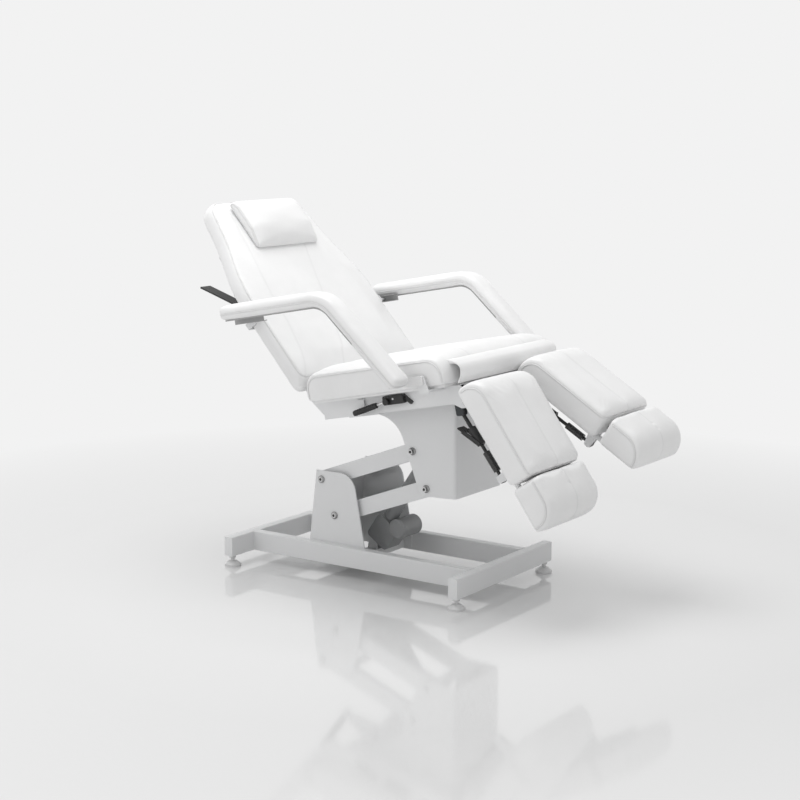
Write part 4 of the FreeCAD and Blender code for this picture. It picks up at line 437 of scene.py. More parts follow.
@dataclass(frozen=True)
class ShadedRailCoat:
    """Powder coat of the armrest rails with painted shade: dark grey towards the head end as painted
    shade, pale towards the seat.
    """

    name: str = "rail_coat_painted_shade"
    # Painted shade: the rails are painted dark grey towards the head end, up to the given X, and pale
    # beyond it.
    dark: float = 0.36
    pale: float = 0.78
    shade_end_x: float = 0.02

    def build(self) -> bpy.types.Material:
        """Return the material."""
        g = Graph(self.name)
        along = g.add("ShaderNodeSeparateXYZ", {"Vector": g.where}).outputs["X"]
        # Painted shade: share is 0 on the shaded head-end part and 1 on the pale part.
        share = g.span(along, self.shade_end_x - 0.001, self.shade_end_x + 0.001, 0.0, 1.0)
        speckle = g.span(g.noise(1400.0, 1.0), 0.42, 0.58, 0.94, 1.06)
        level = g.span(share, 0.0, 1.0, self.dark, self.pale)
        tone = g.maths("MULTIPLY", level, speckle)
        colour = g.add("ShaderNodeCombineColor", {"Red": tone, "Green": tone, "Blue": tone}).outputs[0]
        rough = g.span(g.noise(90.0, 3.0), 0.3, 0.7, 0.36, 0.48)
        peel = g.bump(g.noise(420.0, 2.0), 0.18, 0.0003)
        return g.finish(Base_Color=colour, Roughness=rough, Normal=peel)


@dataclass(frozen=True)
class BrightSteel:
    """Ground or zinc-plated steel with fine turning marks."""

    name: str = "bright_steel"
    level: float = 0.55
    rough: float = 0.28

    def build(self) -> bpy.types.Material:
        """Return the material."""
        g = Graph(self.name)
        marks = g.noise(900.0, 2.0, g.stretch((0.15, 1.0, 1.0)))
        stain = g.span(g.noise(45.0, 4.0), 0.35, 0.7, 0.0, 1.0)
        colour = g.mix(stain, grey(self.level), grey(self.level + 0.1))
        rough = g.span(g.maths("ADD", marks, stain), 0.4, 1.6, self.rough - 0.06, self.rough + 0.1)
        turned = g.bump(marks, 0.12, 0.0002)
        return g.finish(Base_Color=colour, Metallic=1.0, Roughness=rough, Normal=turned)


@dataclass(frozen=True)
class MouldedPlastic:
    """Moulded plastic with a fine spark-eroded texture and handling wear."""

    name: str
    level: float
    worn: float
    tint: float = 0.0
    rough: float = 0.48
    grain: float = 1300.0

    def build(self) -> bpy.types.Material:
        """Return the material."""
        g = Graph(self.name)
        wear = g.span(g.noise(38.0, 5.0), 0.52, 0.75, 0.0, 1.0)
        colour = g.mix(wear, grey(self.level, self.tint), grey(self.worn, self.tint))
        texture = g.cells(self.grain)
        rough = g.span(g.maths("ADD", texture, wear), 0.1, 1.3, self.rough - 0.08, self.rough + 0.1)
        normal = g.bump(texture, 0.25, 0.0002)
        return g.finish(Base_Color=colour, Roughness=rough, Normal=normal, Specular_IOR_Level=0.45)


@dataclass(frozen=True)
class Enamel:
    """Black spring enamel: smooth, with faint dust and lengthwise polish marks."""

    name: str = "spring_enamel"
    level: float = 0.018

    def build(self) -> bpy.types.Material:
        """Return the material."""
        g = Graph(self.name)
        dust = g.span(g.noise(70.0, 5.0), 0.55, 0.8, 0.0, 0.5)
        colour = g.mix(dust, grey(self.level), grey(0.09))
        rough = g.span(g.noise(300.0, 3.0), 0.3, 0.7, 0.22, 0.36)
        polish = g.bump(g.noise(500.0, 1.0), 0.08, 0.0002)
        return g.finish(
            Base_Color=colour, Roughness=rough, Normal=polish, Coat_Weight=0.25, Coat_Roughness=0.12
        )


@dataclass(frozen=True)
class Nylon:
    """Pale, slightly see-through nylon of the levelling feet."""

    name: str = "pale_nylon"
    level: float = 0.80

    def build(self) -> bpy.types.Material:
        """Return the material."""
        g = Graph(self.name)
        tone = g.span(g.noise(50.0, 3.0), 0.3, 0.7, 0.0, 1.0)
        colour = g.mix(tone, grey(self.level - 0.05), grey(self.level))
        rough = g.span(tone, 0.0, 1.0, 0.3, 0.42)
        normal = g.bump(g.noise(700.0, 2.0), 0.1, 0.0002)
        return g.finish(
            Base_Color=colour, Roughness=rough, Normal=normal, Transmission_Weight=0.12, IOR=1.5
        )


@dataclass(frozen=True)
class BackingCloth:
    """Dark non-woven cloth stapled over plywood."""

    name: str = "backing_cloth"

    def build(self) -> bpy.types.Material:
        """Return the material."""
        g = Graph(self.name)
        fibres = g.noise(800.0, 4.0, g.stretch((1.0, 0.5, 1.0)))
        points = g.span(g.cells(330.0), 0.1, 0.35, 1.0, 0.0)
        colour = g.mix(g.span(fibres, 0.35, 0.65, 0.0, 1.0), grey(0.05), grey(0.085))
        height = g.maths("SUBTRACT", fibres, g.maths("MULTIPLY", points, 0.7))
        rough = g.span(fibres, 0.3, 0.7, 0.75, 0.92)
        return g.finish(Base_Color=colour, Roughness=rough, Normal=g.bump(height, 0.5, 0.0006))


@dataclass
class Finishes:
    """All finishes of the chair, built once."""

    leather: bpy.types.Material = field(init=False)
    piping: bpy.types.Material = field(init=False)
    paint: bpy.types.Material = field(init=False)
    steel: bpy.types.Material = field(init=False)
    bolt: bpy.types.Material = field(init=False)
    black: bpy.types.Material = field(init=False)
    enamel: bpy.types.Material = field(init=False)
    actuator: bpy.types.Material = field(init=False)
    nylon: bpy.types.Material = field(init=False)
    cloth: bpy.types.Material = field(init=False)
    white: bpy.types.Material = field(init=False)
    dark_coat: bpy.types.Material = field(init=False)
    shaded_rail_coat: bpy.types.Material = field(init=False)

    def __post_init__(self) -> None:
        """Build every material."""
        self.leather = Leatherette().build()
        self.piping = Piping().build()
        self.paint = PowderCoat().build()
        self.steel = BrightSteel().build()
        self.bolt = BrightSteel("bolt_steel", 0.32, 0.42).build()
        self.black = MouldedPlastic("black_plastic", 0.022, 0.05).build()
        self.enamel = Enamel().build()
        self.actuator = MouldedPlastic("actuator_plastic", 0.30, 0.35, 0.004, 0.42, 900.0).build()
        self.nylon = Nylon().build()
        self.cloth = BackingCloth().build()
        self.shaded_rail_coat = ShadedRailCoat().build()
        self.dark_coat = PowderCoat("dark_powder_coat", 0.030, 0.060).build()
        self.white = MouldedPlastic("white_plastic", 0.74, 0.78, 0.0, 0.4, 1500.0).build()

    def for_slot(self) -> dict[str, bpy.types.Material]:
        """Return the finish of each record slot."""
        return {
            Slot.PAINT.value: self.paint,
            Slot.STEEL.value: self.steel,
            Slot.PLASTIC.value: self.black,
            Slot.SPRING.value: self.enamel,
            Slot.FOOT.value: self.nylon,
            Slot.ACTUATOR.value: self.actuator,
            Slot.BOARD.value: self.cloth,
            Slot.UPHOLSTERY.value: self.leather,
        }


# Seams


class SeamKind(Enum):
    """How a seam looks on the finished cushion."""

    PIPED = "piped"
    STITCHED = "stitched"


@dataclass
class Seam:
    """A seam line on a padded piece.

    Args:
        name: Name of the piece that shows it.
        corners: Corner points of the line in the row frame.
        radii: Rounding at each corner.
        kind: Piping or a flat stitched valley.
        closed: Whether the last corner joins the first.
        tone: Share of the painted shade in the valley.
        radius: Radius of the cord or thread.
        depth: Depth of the valley it lies in.
        reach: Half width of the valley.
    """

    name: str
    corners: list[Vector]
    radii: list[float]
    kind: SeamKind = SeamKind.PIPED
    closed: bool = True
    tone: float = 0.8
    radius: float = 0.0015
    depth: float = 0.0012
    reach: float = 0.0032
    line: Optional[bpy.types.Object] = None

    def outline(self) -> None:
        """Draw a ring of corner points, each rounded, and stay in edit mode."""
        count = len(self.corners)
        bpy.ops.object.select_all(action="DESELECT")
        fill = "NGON" if self.closed else "NOTHING"
        bpy.ops.mesh.primitive_circle_add(vertices=count, radius=1.0, fill_type=fill)
        self.line = bpy.context.object
        self.line.name = self.name
        bpy.ops.object.mode_set(mode="EDIT")
        shape = bmesh.from_edit_mesh(self.line.data)
        shape.verts.ensure_lookup_table()
        for vert, corner in zip(shape.verts, self.corners):
            vert.co = corner
        if not self.closed:
            ends = {shape.verts[0], shape.verts[count - 1]}
            gap = [edge for edge in shape.edges if set(edge.verts) == ends]
            bmesh.ops.delete(shape, geom=gap, context="EDGES")
        bmesh.update_edit_mesh(self.line.data)
        for number, radius in enumerate(self.radii):
            self.round_corner(self.corners[number], number, radius)

    def draw(self) -> None:
        """Draw the line and divide it finely."""
        self.outline()
        if self.closed:
            bpy.ops.mesh.select_all(action="SELECT")
            bpy.ops.mesh.delete(type="ONLY_FACE")
        self.divide(0.003)
        bpy.ops.object.mode_set(mode="OBJECT")

    def round_corner(self, corner: Vector, number: int, radius: float) -> None:
        """Round one corner of the line with an arc of this radius."""
        count = len(self.corners)
        if not self.closed and number in (0, count - 1):
            return
        before = (self.corners[number - 1] - corner).normalized()
        after = (self.corners[(number + 1) % count] - corner).normalized()
        turn = math.pi - before.angle(after)
        if radius < 0.0005 or turn < 0.02:
            return
        shape = bmesh.from_edit_mesh(self.line.data)
        for vert in shape.verts:
            vert.select_set((vert.co - corner).length < 1e-5)
        shape.select_flush(True)
        bmesh.update_edit_mesh(self.line.data)
        steps = max(2, math.ceil(turn * radius / 0.005))
        bpy.ops.mesh.bevel(offset=radius * math.tan(turn / 2), segments=steps, affect="VERTICES")

    def divide(self, longest: float) -> None:
        """Halve the line's edges until none is longer than a length."""
        while True:
            bpy.ops.mesh.select_all(action="DESELECT")
            shape = bmesh.from_edit_mesh(self.line.data)
            long_edges = [edge for edge in shape.edges if edge.calc_length() > longest]
            if not long_edges:
                return
            for edge in long_edges:
                edge.select_set(True)
            bmesh.update_edit_mesh(self.line.data)
            bpy.ops.mesh.subdivide(number_cuts=1)

    def points(self) -> list[Vector]:
        """Return the line's points in the row frame."""
        return [vert.co.copy() for vert in self.line.data.vertices]

    def lay_on(self, cushion: bpy.types.Object) -> None:
        """Lay the line on the cushion's surface."""
        apply_modifier(
            self.line,
            "SHRINKWRAP",
            target=cushion,
            wrap_method="NEAREST_SURFACEPOINT",
            wrap_mode="ON_SURFACE",
            offset=0.0,
        )

    def thicken(self, material: bpy.types.Material) -> bpy.types.Object:
        """Turn the line into a cord or thread.

        Args:
            material: Its finish.

        Returns:
            The finished piece.
        """
        apply_modifier(self.line, "SMOOTH", factor=0.5, iterations=6)
        select_only(self.line)
        bpy.ops.object.convert(target="CURVE")
        self.line.data.bevel_depth = self.radius
        self.line.data.bevel_resolution = 2
        self.line.data.use_fill_caps = not self.closed
        bpy.ops.object.convert(target="MESH")
        self.line = bpy.context.object
        dress(self.line, material)
        shade(self.line, 60.0)
        return self.line


# Padded pieces


@dataclass
class PaddedPiece:
    """A foam pad in leatherette that stands for one soft solid.

    Args:
        node: The CAD node it stands for.
        body: The body it rides on.
        voxel: Mesh pitch before the last subdivision.
        shrink: How far the start shape is drawn in before it swells.
        swell: The most that a point may move while it swells.
        rounding: Smoothing steps over the solid's flat strips.
        fill: How tight the pad is; not used.
        seams: Lines sewn on it.
        held: Tells which points stay while it swells.
        lift: Extra height of a point over the solid.
        source: A closed mesh to use in place of the solid's own.
    """

    node: str
    body: str
    voxel: float = 0.006
    shrink: float = 0.0015
    swell: float = 0.0040
    rounding: int = 5
    fill: float = 0.8
    seams: list[Seam] = field(default_factory=list)
    held: Optional[Callable[[Vector], bool]] = None
    lift: Optional[Callable[[Vector], Vector]] = None
    source: Optional[bpy.types.Object] = None

    FRAMES = 8

    def build(self, finishes: Finishes) -> bpy.types.Object:
        """Build the pad, run its cloth step, press its seams in and dress it.

        Args:
            finishes: The chair's finishes.

        Returns:
            The finished pad.
        """
        for seam in self.seams:
            seam.draw()
        pad = self.copy_solid()
        self.inflate(pad)
        apply_modifier(pad, "SUBSURF", levels=1, render_levels=1)
        for seam in self.seams:
            seam.lay_on(pad)
        self.crease_shade(pad)
        dress(pad, finishes.leather)
        shade(pad, 80.0)
        publish(pad, self.body, Slot.UPHOLSTERY, self.node)
        for seam in self.seams:
            if seam.kind is SeamKind.PIPED:
                cord = seam.thicken(finishes.piping)
                publish(cord, self.body, Slot.UPHOLSTERY)
            else:
                bpy.data.objects.remove(seam.line)
        return pad

    def copy_solid(self) -> bpy.types.Object:
        """Return a merged, evenly meshed and softened copy of the solid."""
        pad = self.source
        if pad is None:
            pad = bpy.data.objects.new(self.node + "_pad", frame["nodes"][self.node].data.copy())
            bpy.context.scene.collection.objects.link(pad)
        select_only(pad)
        bpy.ops.object.mode_set(mode="EDIT")
        bpy.ops.mesh.select_all(action="SELECT")
        bpy.ops.mesh.remove_doubles(threshold=0.00002)
        bpy.ops.mesh.normals_make_consistent(inside=False)
        bpy.ops.object.mode_set(mode="OBJECT")
        apply_modifier(pad, "REMESH", mode="VOXEL", voxel_size=self.voxel, use_smooth_shade=True)
        apply_modifier(pad, "SMOOTH", factor=0.5, iterations=self.rounding)
        if self.lift is not None:
            for vert in pad.data.vertices:
                vert.co += self.lift(vert.co)
        return pad

    def inflate(self, pad: bpy.types.Object) -> None:
        """Draw every point in, then let a short cloth simulation push the free points out.

        Seams and the underside are held, so they stay drawn in and only the free panels swell.
        """
        away = distances(pad, [point for seam in self.seams for point in seam.points()])
        group = pad.vertex_groups.new(name="held")
        pinned = [
            vert.index
            for vert in pad.data.vertices
            if away[vert.index] < self.voxel * 0.9 or (self.held and self.held(vert.co))
        ]
        group.add(pinned, 1.0, "REPLACE")
        for vert in pad.data.vertices:
            vert.co -= vert.normal * self.shrink
        start = coordinates(pad)
        select_only(pad)
        cloth = pad.modifiers.new("Swell", "CLOTH")
        cloth.settings.quality = 2
        cloth.settings.mass = 0.35
        cloth.settings.tension_stiffness = 12.0
        cloth.settings.compression_stiffness = 12.0
        cloth.settings.bending_stiffness = 0.8
        cloth.settings.use_pressure = True
        cloth.settings.uniform_pressure_force = 9.0
        cloth.settings.vertex_group_mass = group.name
        cloth.settings.effector_weights.gravity = 0.0
        cloth.collision_settings.use_collision = False
        cloth.point_cache.frame_end = self.FRAMES
        for number in range(1, self.FRAMES + 1):
            bpy.context.scene.frame_set(number)
        bpy.ops.object.modifier_apply(modifier=cloth.name)
        step = coordinates(pad) - start
        length = np.linalg.norm(step, axis=1)
        share = np.minimum(1.0, self.swell / np.maximum(length, 1e-9))
        place_points(pad, start + step * share[:, None])
        bpy.context.scene.frame_set(1)

    def crease_shade(self, pad: bpy.types.Object) -> None:
        """Press a valley along each seam and store how deep each point lies in it, times the seam's tone,
        as the share of painted shade in the valley.
        """
        points = coordinates(pad)
        normals = np.empty(len(pad.data.vertices) * 3, np.float32)
        pad.data.vertex_normals.foreach_get("vector", normals)
        normals = normals.reshape(-1, 3)
        painted_shade_share = np.zeros(len(points))
        for seam in self.seams:
            share = np.exp(-((distances(pad, seam.points()) / seam.reach) ** 2))
            points = points - normals * (seam.depth * share)[:, None]
            # The stored share is painted shade: the leatherette darkens the seam valleys by it.
            painted_shade_share = np.maximum(painted_shade_share, share * seam.tone)
        place_points(pad, points)
        stored = pad.data.attributes.new("crease_shade", "FLOAT", "POINT")
        stored.data.foreach_set("value", painted_shade_share.astype(np.float32))


def inset_corners(corners: Sequence[tuple[float, float]], inset: float) -> list[tuple[float, float]]:
    """Return the corners of a convex outline drawn in by an inset."""
    drawn = []
    count = len(corners)
    middle = Vector((sum(c[0] for c in corners) / count, sum(c[1] for c in corners) / count))
    for number, corner in enumerate(corners):
        here = Vector(corner)
        before = (here - Vector(corners[number - 1])).normalized()
        after = (Vector(corners[(number + 1) % count]) - here).normalized()
        normals = []
        for run in (before, after):
            normal = Vector((-run.y, run.x))
            if normal.dot(middle - here) < 0:
                normal = -normal
            normals.append(normal)
        bisector = (normals[0] + normals[1]).normalized()
        drawn.append(tuple(here + bisector * (inset / max(bisector.dot(normals[0]), 0.2))))
    return drawn


class Welt(Enum):
    """Which way the piping runs on a pad with side panels."""

    RING = "round each side panel"
    OVER_TOP = "over the top of each side panel"
    ROUND_FRONT = "round the front panel, over its far end"
    DOWN_FRONT = "down the front edge of each side panel"


@dataclass
class BoxPad:
    """A pad with flat side panels, piped edges and a crowned top with sewn valleys.

    Args:
        node: The CAD node.
        body: The body it rides on.
        place: The pad's local frame.
        outline: Corners of the side panel in the local frame.
        radii: Roundings of those corners.
        middle: Y of the pad's middle.
        half: Half the pad's width at the side panels.
        welt: Which way the piping runs.
        inset: How far the piping lies inside the panel's edge.
        channels: Y of each sewn valley.
        pitch: Mesh pitch.
        rounding: Smoothing steps.
        dome: Extra height of the pad's middle.
    """

    node: str
    body: str
    place: Place
    outline: list[tuple[float, float]]
    radii: list[float]
    middle: float
    half: float
    welt: Welt = Welt.RING
    inset: float = 0.010
    channels: tuple[float, ...] = ()
    pitch: float = 0.006
    rounding: int = 5
    dome: float = 0.0

    PANEL_CORNER = 0.020

    def piping(self) -> list[Seam]:
        """Return the piping lines."""
        corners = inset_corners(self.outline, self.inset)
        radii = [max(radius - self.inset, 0.004) for radius in self.radii]
        name = self.node + "_piping"
        if self.welt is Welt.ROUND_FRONT:
            corners[2] = (self.outline[2][0], corners[2][1])
            radii[2] = self.PANEL_CORNER
            order = (0, 3, 2)
            sides = [self.middle - self.half] * len(order) + [self.middle + self.half] * len(order)
            run = [corners[number] for number in order + order[::-1]]
            points = [self.place.point(x, across, z) for (x, z), across in zip(run, sides)]
            return [Seam(name, points, [radii[number] for number in order + order[::-1]], closed=False)]
        orders = {
            Welt.RING: tuple(range(len(corners))),
            Welt.OVER_TOP: (0, 3, 2, 1),
            Welt.DOWN_FRONT: (3, 2, 1),
        }
        order = orders[self.welt]
        seams = []
        for label, sign in (("left", -1.0), ("right", 1.0)):
            across = self.middle + sign * self.half
            points = [self.place.point(corners[number][0], across, corners[number][1]) for number in order]
            turns = [radii[number] for number in order]
            seams.append(Seam("%s_%s" % (name, label), points, turns, closed=self.welt is Welt.RING))
        return seams

    def valleys(self) -> list[Seam]:
        """Return the sewn valleys over the top."""
        seams = []
        rear, front = self.outline[0][0], self.outline[1][0]
        level = self.outline[2][1]
        crown = 0.013
        for number, across in enumerate(self.channels):
            low, top = level * 0.35, level + crown
            corners = [(rear, low), (rear, top), (front, top), (front, low)]
            points = [self.place.point(x, across, z) for x, z in corners]
            radii = [0.0, self.radii[3], self.radii[2], 0.0]
            seams.append(
                Seam(
                    "%s_valley_%d" % (self.node, number + 1),
                    points,
                    radii,
                    SeamKind.STITCHED,
                    closed=False,
                    tone=0.30,
                    depth=0.0008,
                    reach=0.0035,
                )
            )
        return seams

    def build(self, finishes: Finishes) -> bpy.types.Object:
        """Build the pad with its piping.

        Args:
            finishes: The chair's finishes.

        Returns:
            The finished pad.
        """
        under = min(z for _, z in self.outline)
        place = self.place

        ends = [x for x, _ in self.outline]
        centre, half_run = (min(ends) + max(ends)) / 2, (max(ends) - min(ends)) / 2
        high = max(z for _, z in self.outline)

        def resting(point: Vector) -> bool:
            """Tell whether a point is on the pad's flat underside."""
            return place.local(point)[1] < under + 0.014

        def domed(point: Vector) -> Vector:
            """Return the dome's height over a point."""
            along, out = place.local(point)
            round_run = max(0.0, 1.0 - ((along - centre) / half_run) ** 4)
            round_width = max(0.0, 1.0 - ((point.y - self.middle) / self.half) ** 4)
            rise = min(1.0, max(0.0, (out - under) / (high - under)))
            return place.outward() * (self.dome * round_run * round_width * rise)

        pad = PaddedPiece(
            self.node,
            self.body,
            voxel=self.pitch,
            rounding=self.rounding,
            seams=self.piping() + self.valleys(),
            held=resting,
            lift=domed if self.dome else None,
        )
        return pad.build(finishes)


@dataclass
class Upholstery:
    """All padded pieces of the chair."""

    finishes: Finishes
    seat_length: tuple[float, float] = (-0.010, 0.478)
    seat_depth: float = 0.083
    seat_half: float = 0.303
    seat_valley: float = 0.150
    leg_middle: float = 0.1665
    leg_half: float = 0.1365
    leg_depth: tuple[float, float] = (0.035, 0.118)
    leg_length: tuple[float, float] = (-0.028, 0.276)
    foot_length: tuple[float, float] = (0.286, 0.416)
    foot_extra: float = 0.010
    pillow_half: float = 0.148
    arm_middle: float = 0.375
    arm_half: float = 0.036
    flap_half: float = 0.263

    def seat(self) -> None:
        """Build the seat cushion."""
        rear, front = self.seat_length
        outline = [(rear, 0.0), (front, 0.0), (front, self.seat_depth), (rear, self.seat_depth)]
        radii = [0.015, 0.015, 0.060, 0.046]
        BoxPad(
            "seat_cushion",
            "seat",
            SEAT,
            outline,
            radii,
            0.0,
            self.seat_half,
            Welt.OVER_TOP,
            channels=(-self.seat_valley, self.seat_valley),
            pitch=0.0065,
        ).build(self.finishes)

    def legs(self) -> None:
        """Build the leg and foot cushions of both sides."""
        low, high = self.leg_depth
        for side in Side:
            middle = side.sign * self.leg_middle
            start, end = self.leg_length
            outline = [(start, low), (end, low), (end, high), (start, high)]
            BoxPad(
                "leg_cushion_" + side.value,
                "leg_rest_" + side.value,
                LEGS[side],
                outline,
                [0.015, 0.015, 0.022, 0.060],
                middle,
                self.leg_half,
                Welt.ROUND_FRONT,
                inset=0.012,
                channels=(middle,),
                pitch=0.005,
            ).build(self.finishes)
            start, end = self.foot_length
            outline = [(start, low), (end, low), (end, high), (start, high)]
            place = LEGS[side].slid(self.foot_extra if side is Side.FAR else 0.0)
            BoxPad(
                "foot_cushion_" + side.value,
                "foot_rest_" + side.value,
                place,
                outline,
                [0.012, 0.012, 0.067, 0.012],
                middle,
                self.leg_half,
                Welt.DOWN_FRONT,
                channels=(middle,),
                pitch=0.0045,
            ).build(self.finishes)

    def back(self) -> None:
        """Build the back cushion: one piping round the front edge, two sewn valleys."""
        plan = [(-0.007, 0.297), (-0.345, 0.297), (-0.500, 0.240), (-0.652, 0.207)]
        rounds = [0.024, 0.380, 0.380, 0.055]
        corners = plan + [(x, -y) for x, y in reversed(plan)]
        radii = rounds + rounds[::-1]
        seams = [Seam("back_cushion_piping", [BACK.point(x, y, 0.0) for x, y in corners], radii)]
        for number, across in enumerate((-0.150, 0.150)):
            points = [BACK.point(-0.020, across, 0.012), BACK.point(-0.645, across, 0.012)]
            seams.append(
                Seam(
                    "back_cushion_valley_%d" % (number + 1),
                    points,
                    [0.0, 0.0],
                    SeamKind.STITCHED,
                    closed=False,
                    tone=0.30,
                    depth=0.0008,
                    reach=0.0035,
                )
            )

        def resting(point: Vector) -> bool:
            """Tell whether a point is on the board's side of the back."""
            return BACK.local(point)[1] < -0.040

        PaddedPiece("back_cushion", "back", voxel=0.0065, seams=seams, held=resting).build(self.finishes)

    def pillow(self) -> None:
        """Build the head pillow with its two end panels."""
        under = [(-0.628, 0.0), (-0.455, 0.0)]
        outline = under + [(-0.461, 0.0165), (-0.517, 0.030), (-0.604, 0.030), (-0.628, 0.021)]
        start = BACK.point(0.0, 0.0, 0.0124)
        place = Place(start.x, start.z, BACK.angle)
        BoxPad(
            "pillow",
            "head_pillow",
            place,
            outline,
            [0.006, 0.006, 0.010, 0.030, 0.030, 0.010],
            0.0,
            self.pillow_half,
            inset=0.004,
            pitch=0.004,
            rounding=12,
            dome=0.016,
        ).build(self.finishes)

    def arms(self) -> None:
        """Build the armrest pads with one piping line along their sides."""
        turn = math.radians(51.9)
        offset = -0.0045
        rear = (-0.6035, 0.263 + offset)
        corner = (-0.2294 + offset * math.tan(turn / 2), 0.263 + offset)
        reach = 0.336
        end = (
            -0.2294 + reach * math.cos(turn) + offset * math.sin(turn),
            0.263 - reach * math.sin(turn) + offset * math.cos(turn),
        )
        for side in Side:
            middle = side.sign * self.arm_middle
            points = [ARM.point(x, middle - self.arm_half, z) for x, z in (rear, corner, end)]
            points += [ARM.point(x, middle + self.arm_half, z) for x, z in (end, corner, rear)]
            radii = [0.016, 0.090, 0.016, 0.016, 0.090, 0.016]
            node = "armrest_pad_" + side.value
            seam = Seam(node + "_piping", points, radii, radius=0.0012, depth=0.0012, reach=0.0030)
            PaddedPiece(
                node,
                "armrest_" + side.value,
                voxel=0.0042,
                shrink=0.001,
                swell=0.003,
                rounding=4,
                seams=[seam],
            ).build(self.finishes)

    def flap(self) -> None:
        """Build the covered strip that hangs in front of the seat, held everywhere in the cloth step."""
        roll = (0.418, 0.023)
        reach = 0.06055
        arc = [math.radians(angle) for angle in range(30, 55, 6)]
        on_roll = [(roll[0] + reach * math.cos(angle), roll[1] + reach * math.sin(angle)) for angle in arc]
        outside = [(0.4870, 0.0665), (0.5145, 0.0460), (0.5080, 0.0170), (0.4945, -0.0040)]
        inside = [(0.4875, -0.0005), (0.5008, 0.0175), (0.5070, 0.0425), (0.4920, 0.0530)]
        radii = [0.0] * len(on_roll) + [0.040, 0.024, 0.025, 0.003, 0.003, 0.018, 0.014, 0.016]
        corners = [SEAT.point(x, -self.flap_half, z) for x, z in on_roll + outside + inside]
        strip = Seam("seat_front_flap_pad", corners, radii)
        strip.outline()
        bpy.ops.mesh.select_all(action="SELECT")
        bpy.ops.mesh.extrude_region_move(TRANSFORM_OT_translate={"value": (0.0, 2 * self.flap_half, 0.0)})
        bpy.ops.mesh.select_all(action="SELECT")
        bpy.ops.mesh.normals_make_consistent(inside=False)
        bpy.ops.object.mode_set(mode="OBJECT")
        PaddedPiece(
            "seat_front_flap",
            "seat",
            voxel=0.003,
            rounding=3,
            fill=0.3,
            held=lambda point: True,
            source=strip.line,
        ).build(self.finishes)

    def build(self) -> None:
        """Build every padded piece."""
        self.seat()
        self.back()
        self.pillow()
        self.arms()
        self.legs()
        self.flap()


@dataclass
class CarriedOver:
    """The CAD nodes whose shape stays, with their finishes."""

    finishes: Finishes
    bolts: tuple[str, ...] = ("tower_pivot_shafts", "column_pivot_shafts")
    dark: tuple[str, ...] = ("leg_strut_brackets",)
    rails: tuple[str, ...] = ("armrest_rail_near", "armrest_rail_far")
    covered: tuple[str, ...] = ("seat_board",)

    def dress_nodes(self) -> None:
        """Give each node the finish of its record slot, or a node's own."""
        finish_of = self.finishes.for_slot()
        for part in frame["record"]["subparts"]:
            dress(frame["nodes"][part["node"]], finish_of[part["material_slot"]])
        for node in self.bolts:
            dress(frame["nodes"][node], self.finishes.bolt)
        for node in self.dark:
            dress(frame["nodes"][node], self.finishes.dark_coat)
        # The rails get the coat with painted shade on their head-end part.
        for node in self.rails:
            dress(frame["nodes"][node], self.finishes.shaded_rail_coat)
        for node in self.covered:
            dress(frame["nodes"][node], self.finishes.leather)


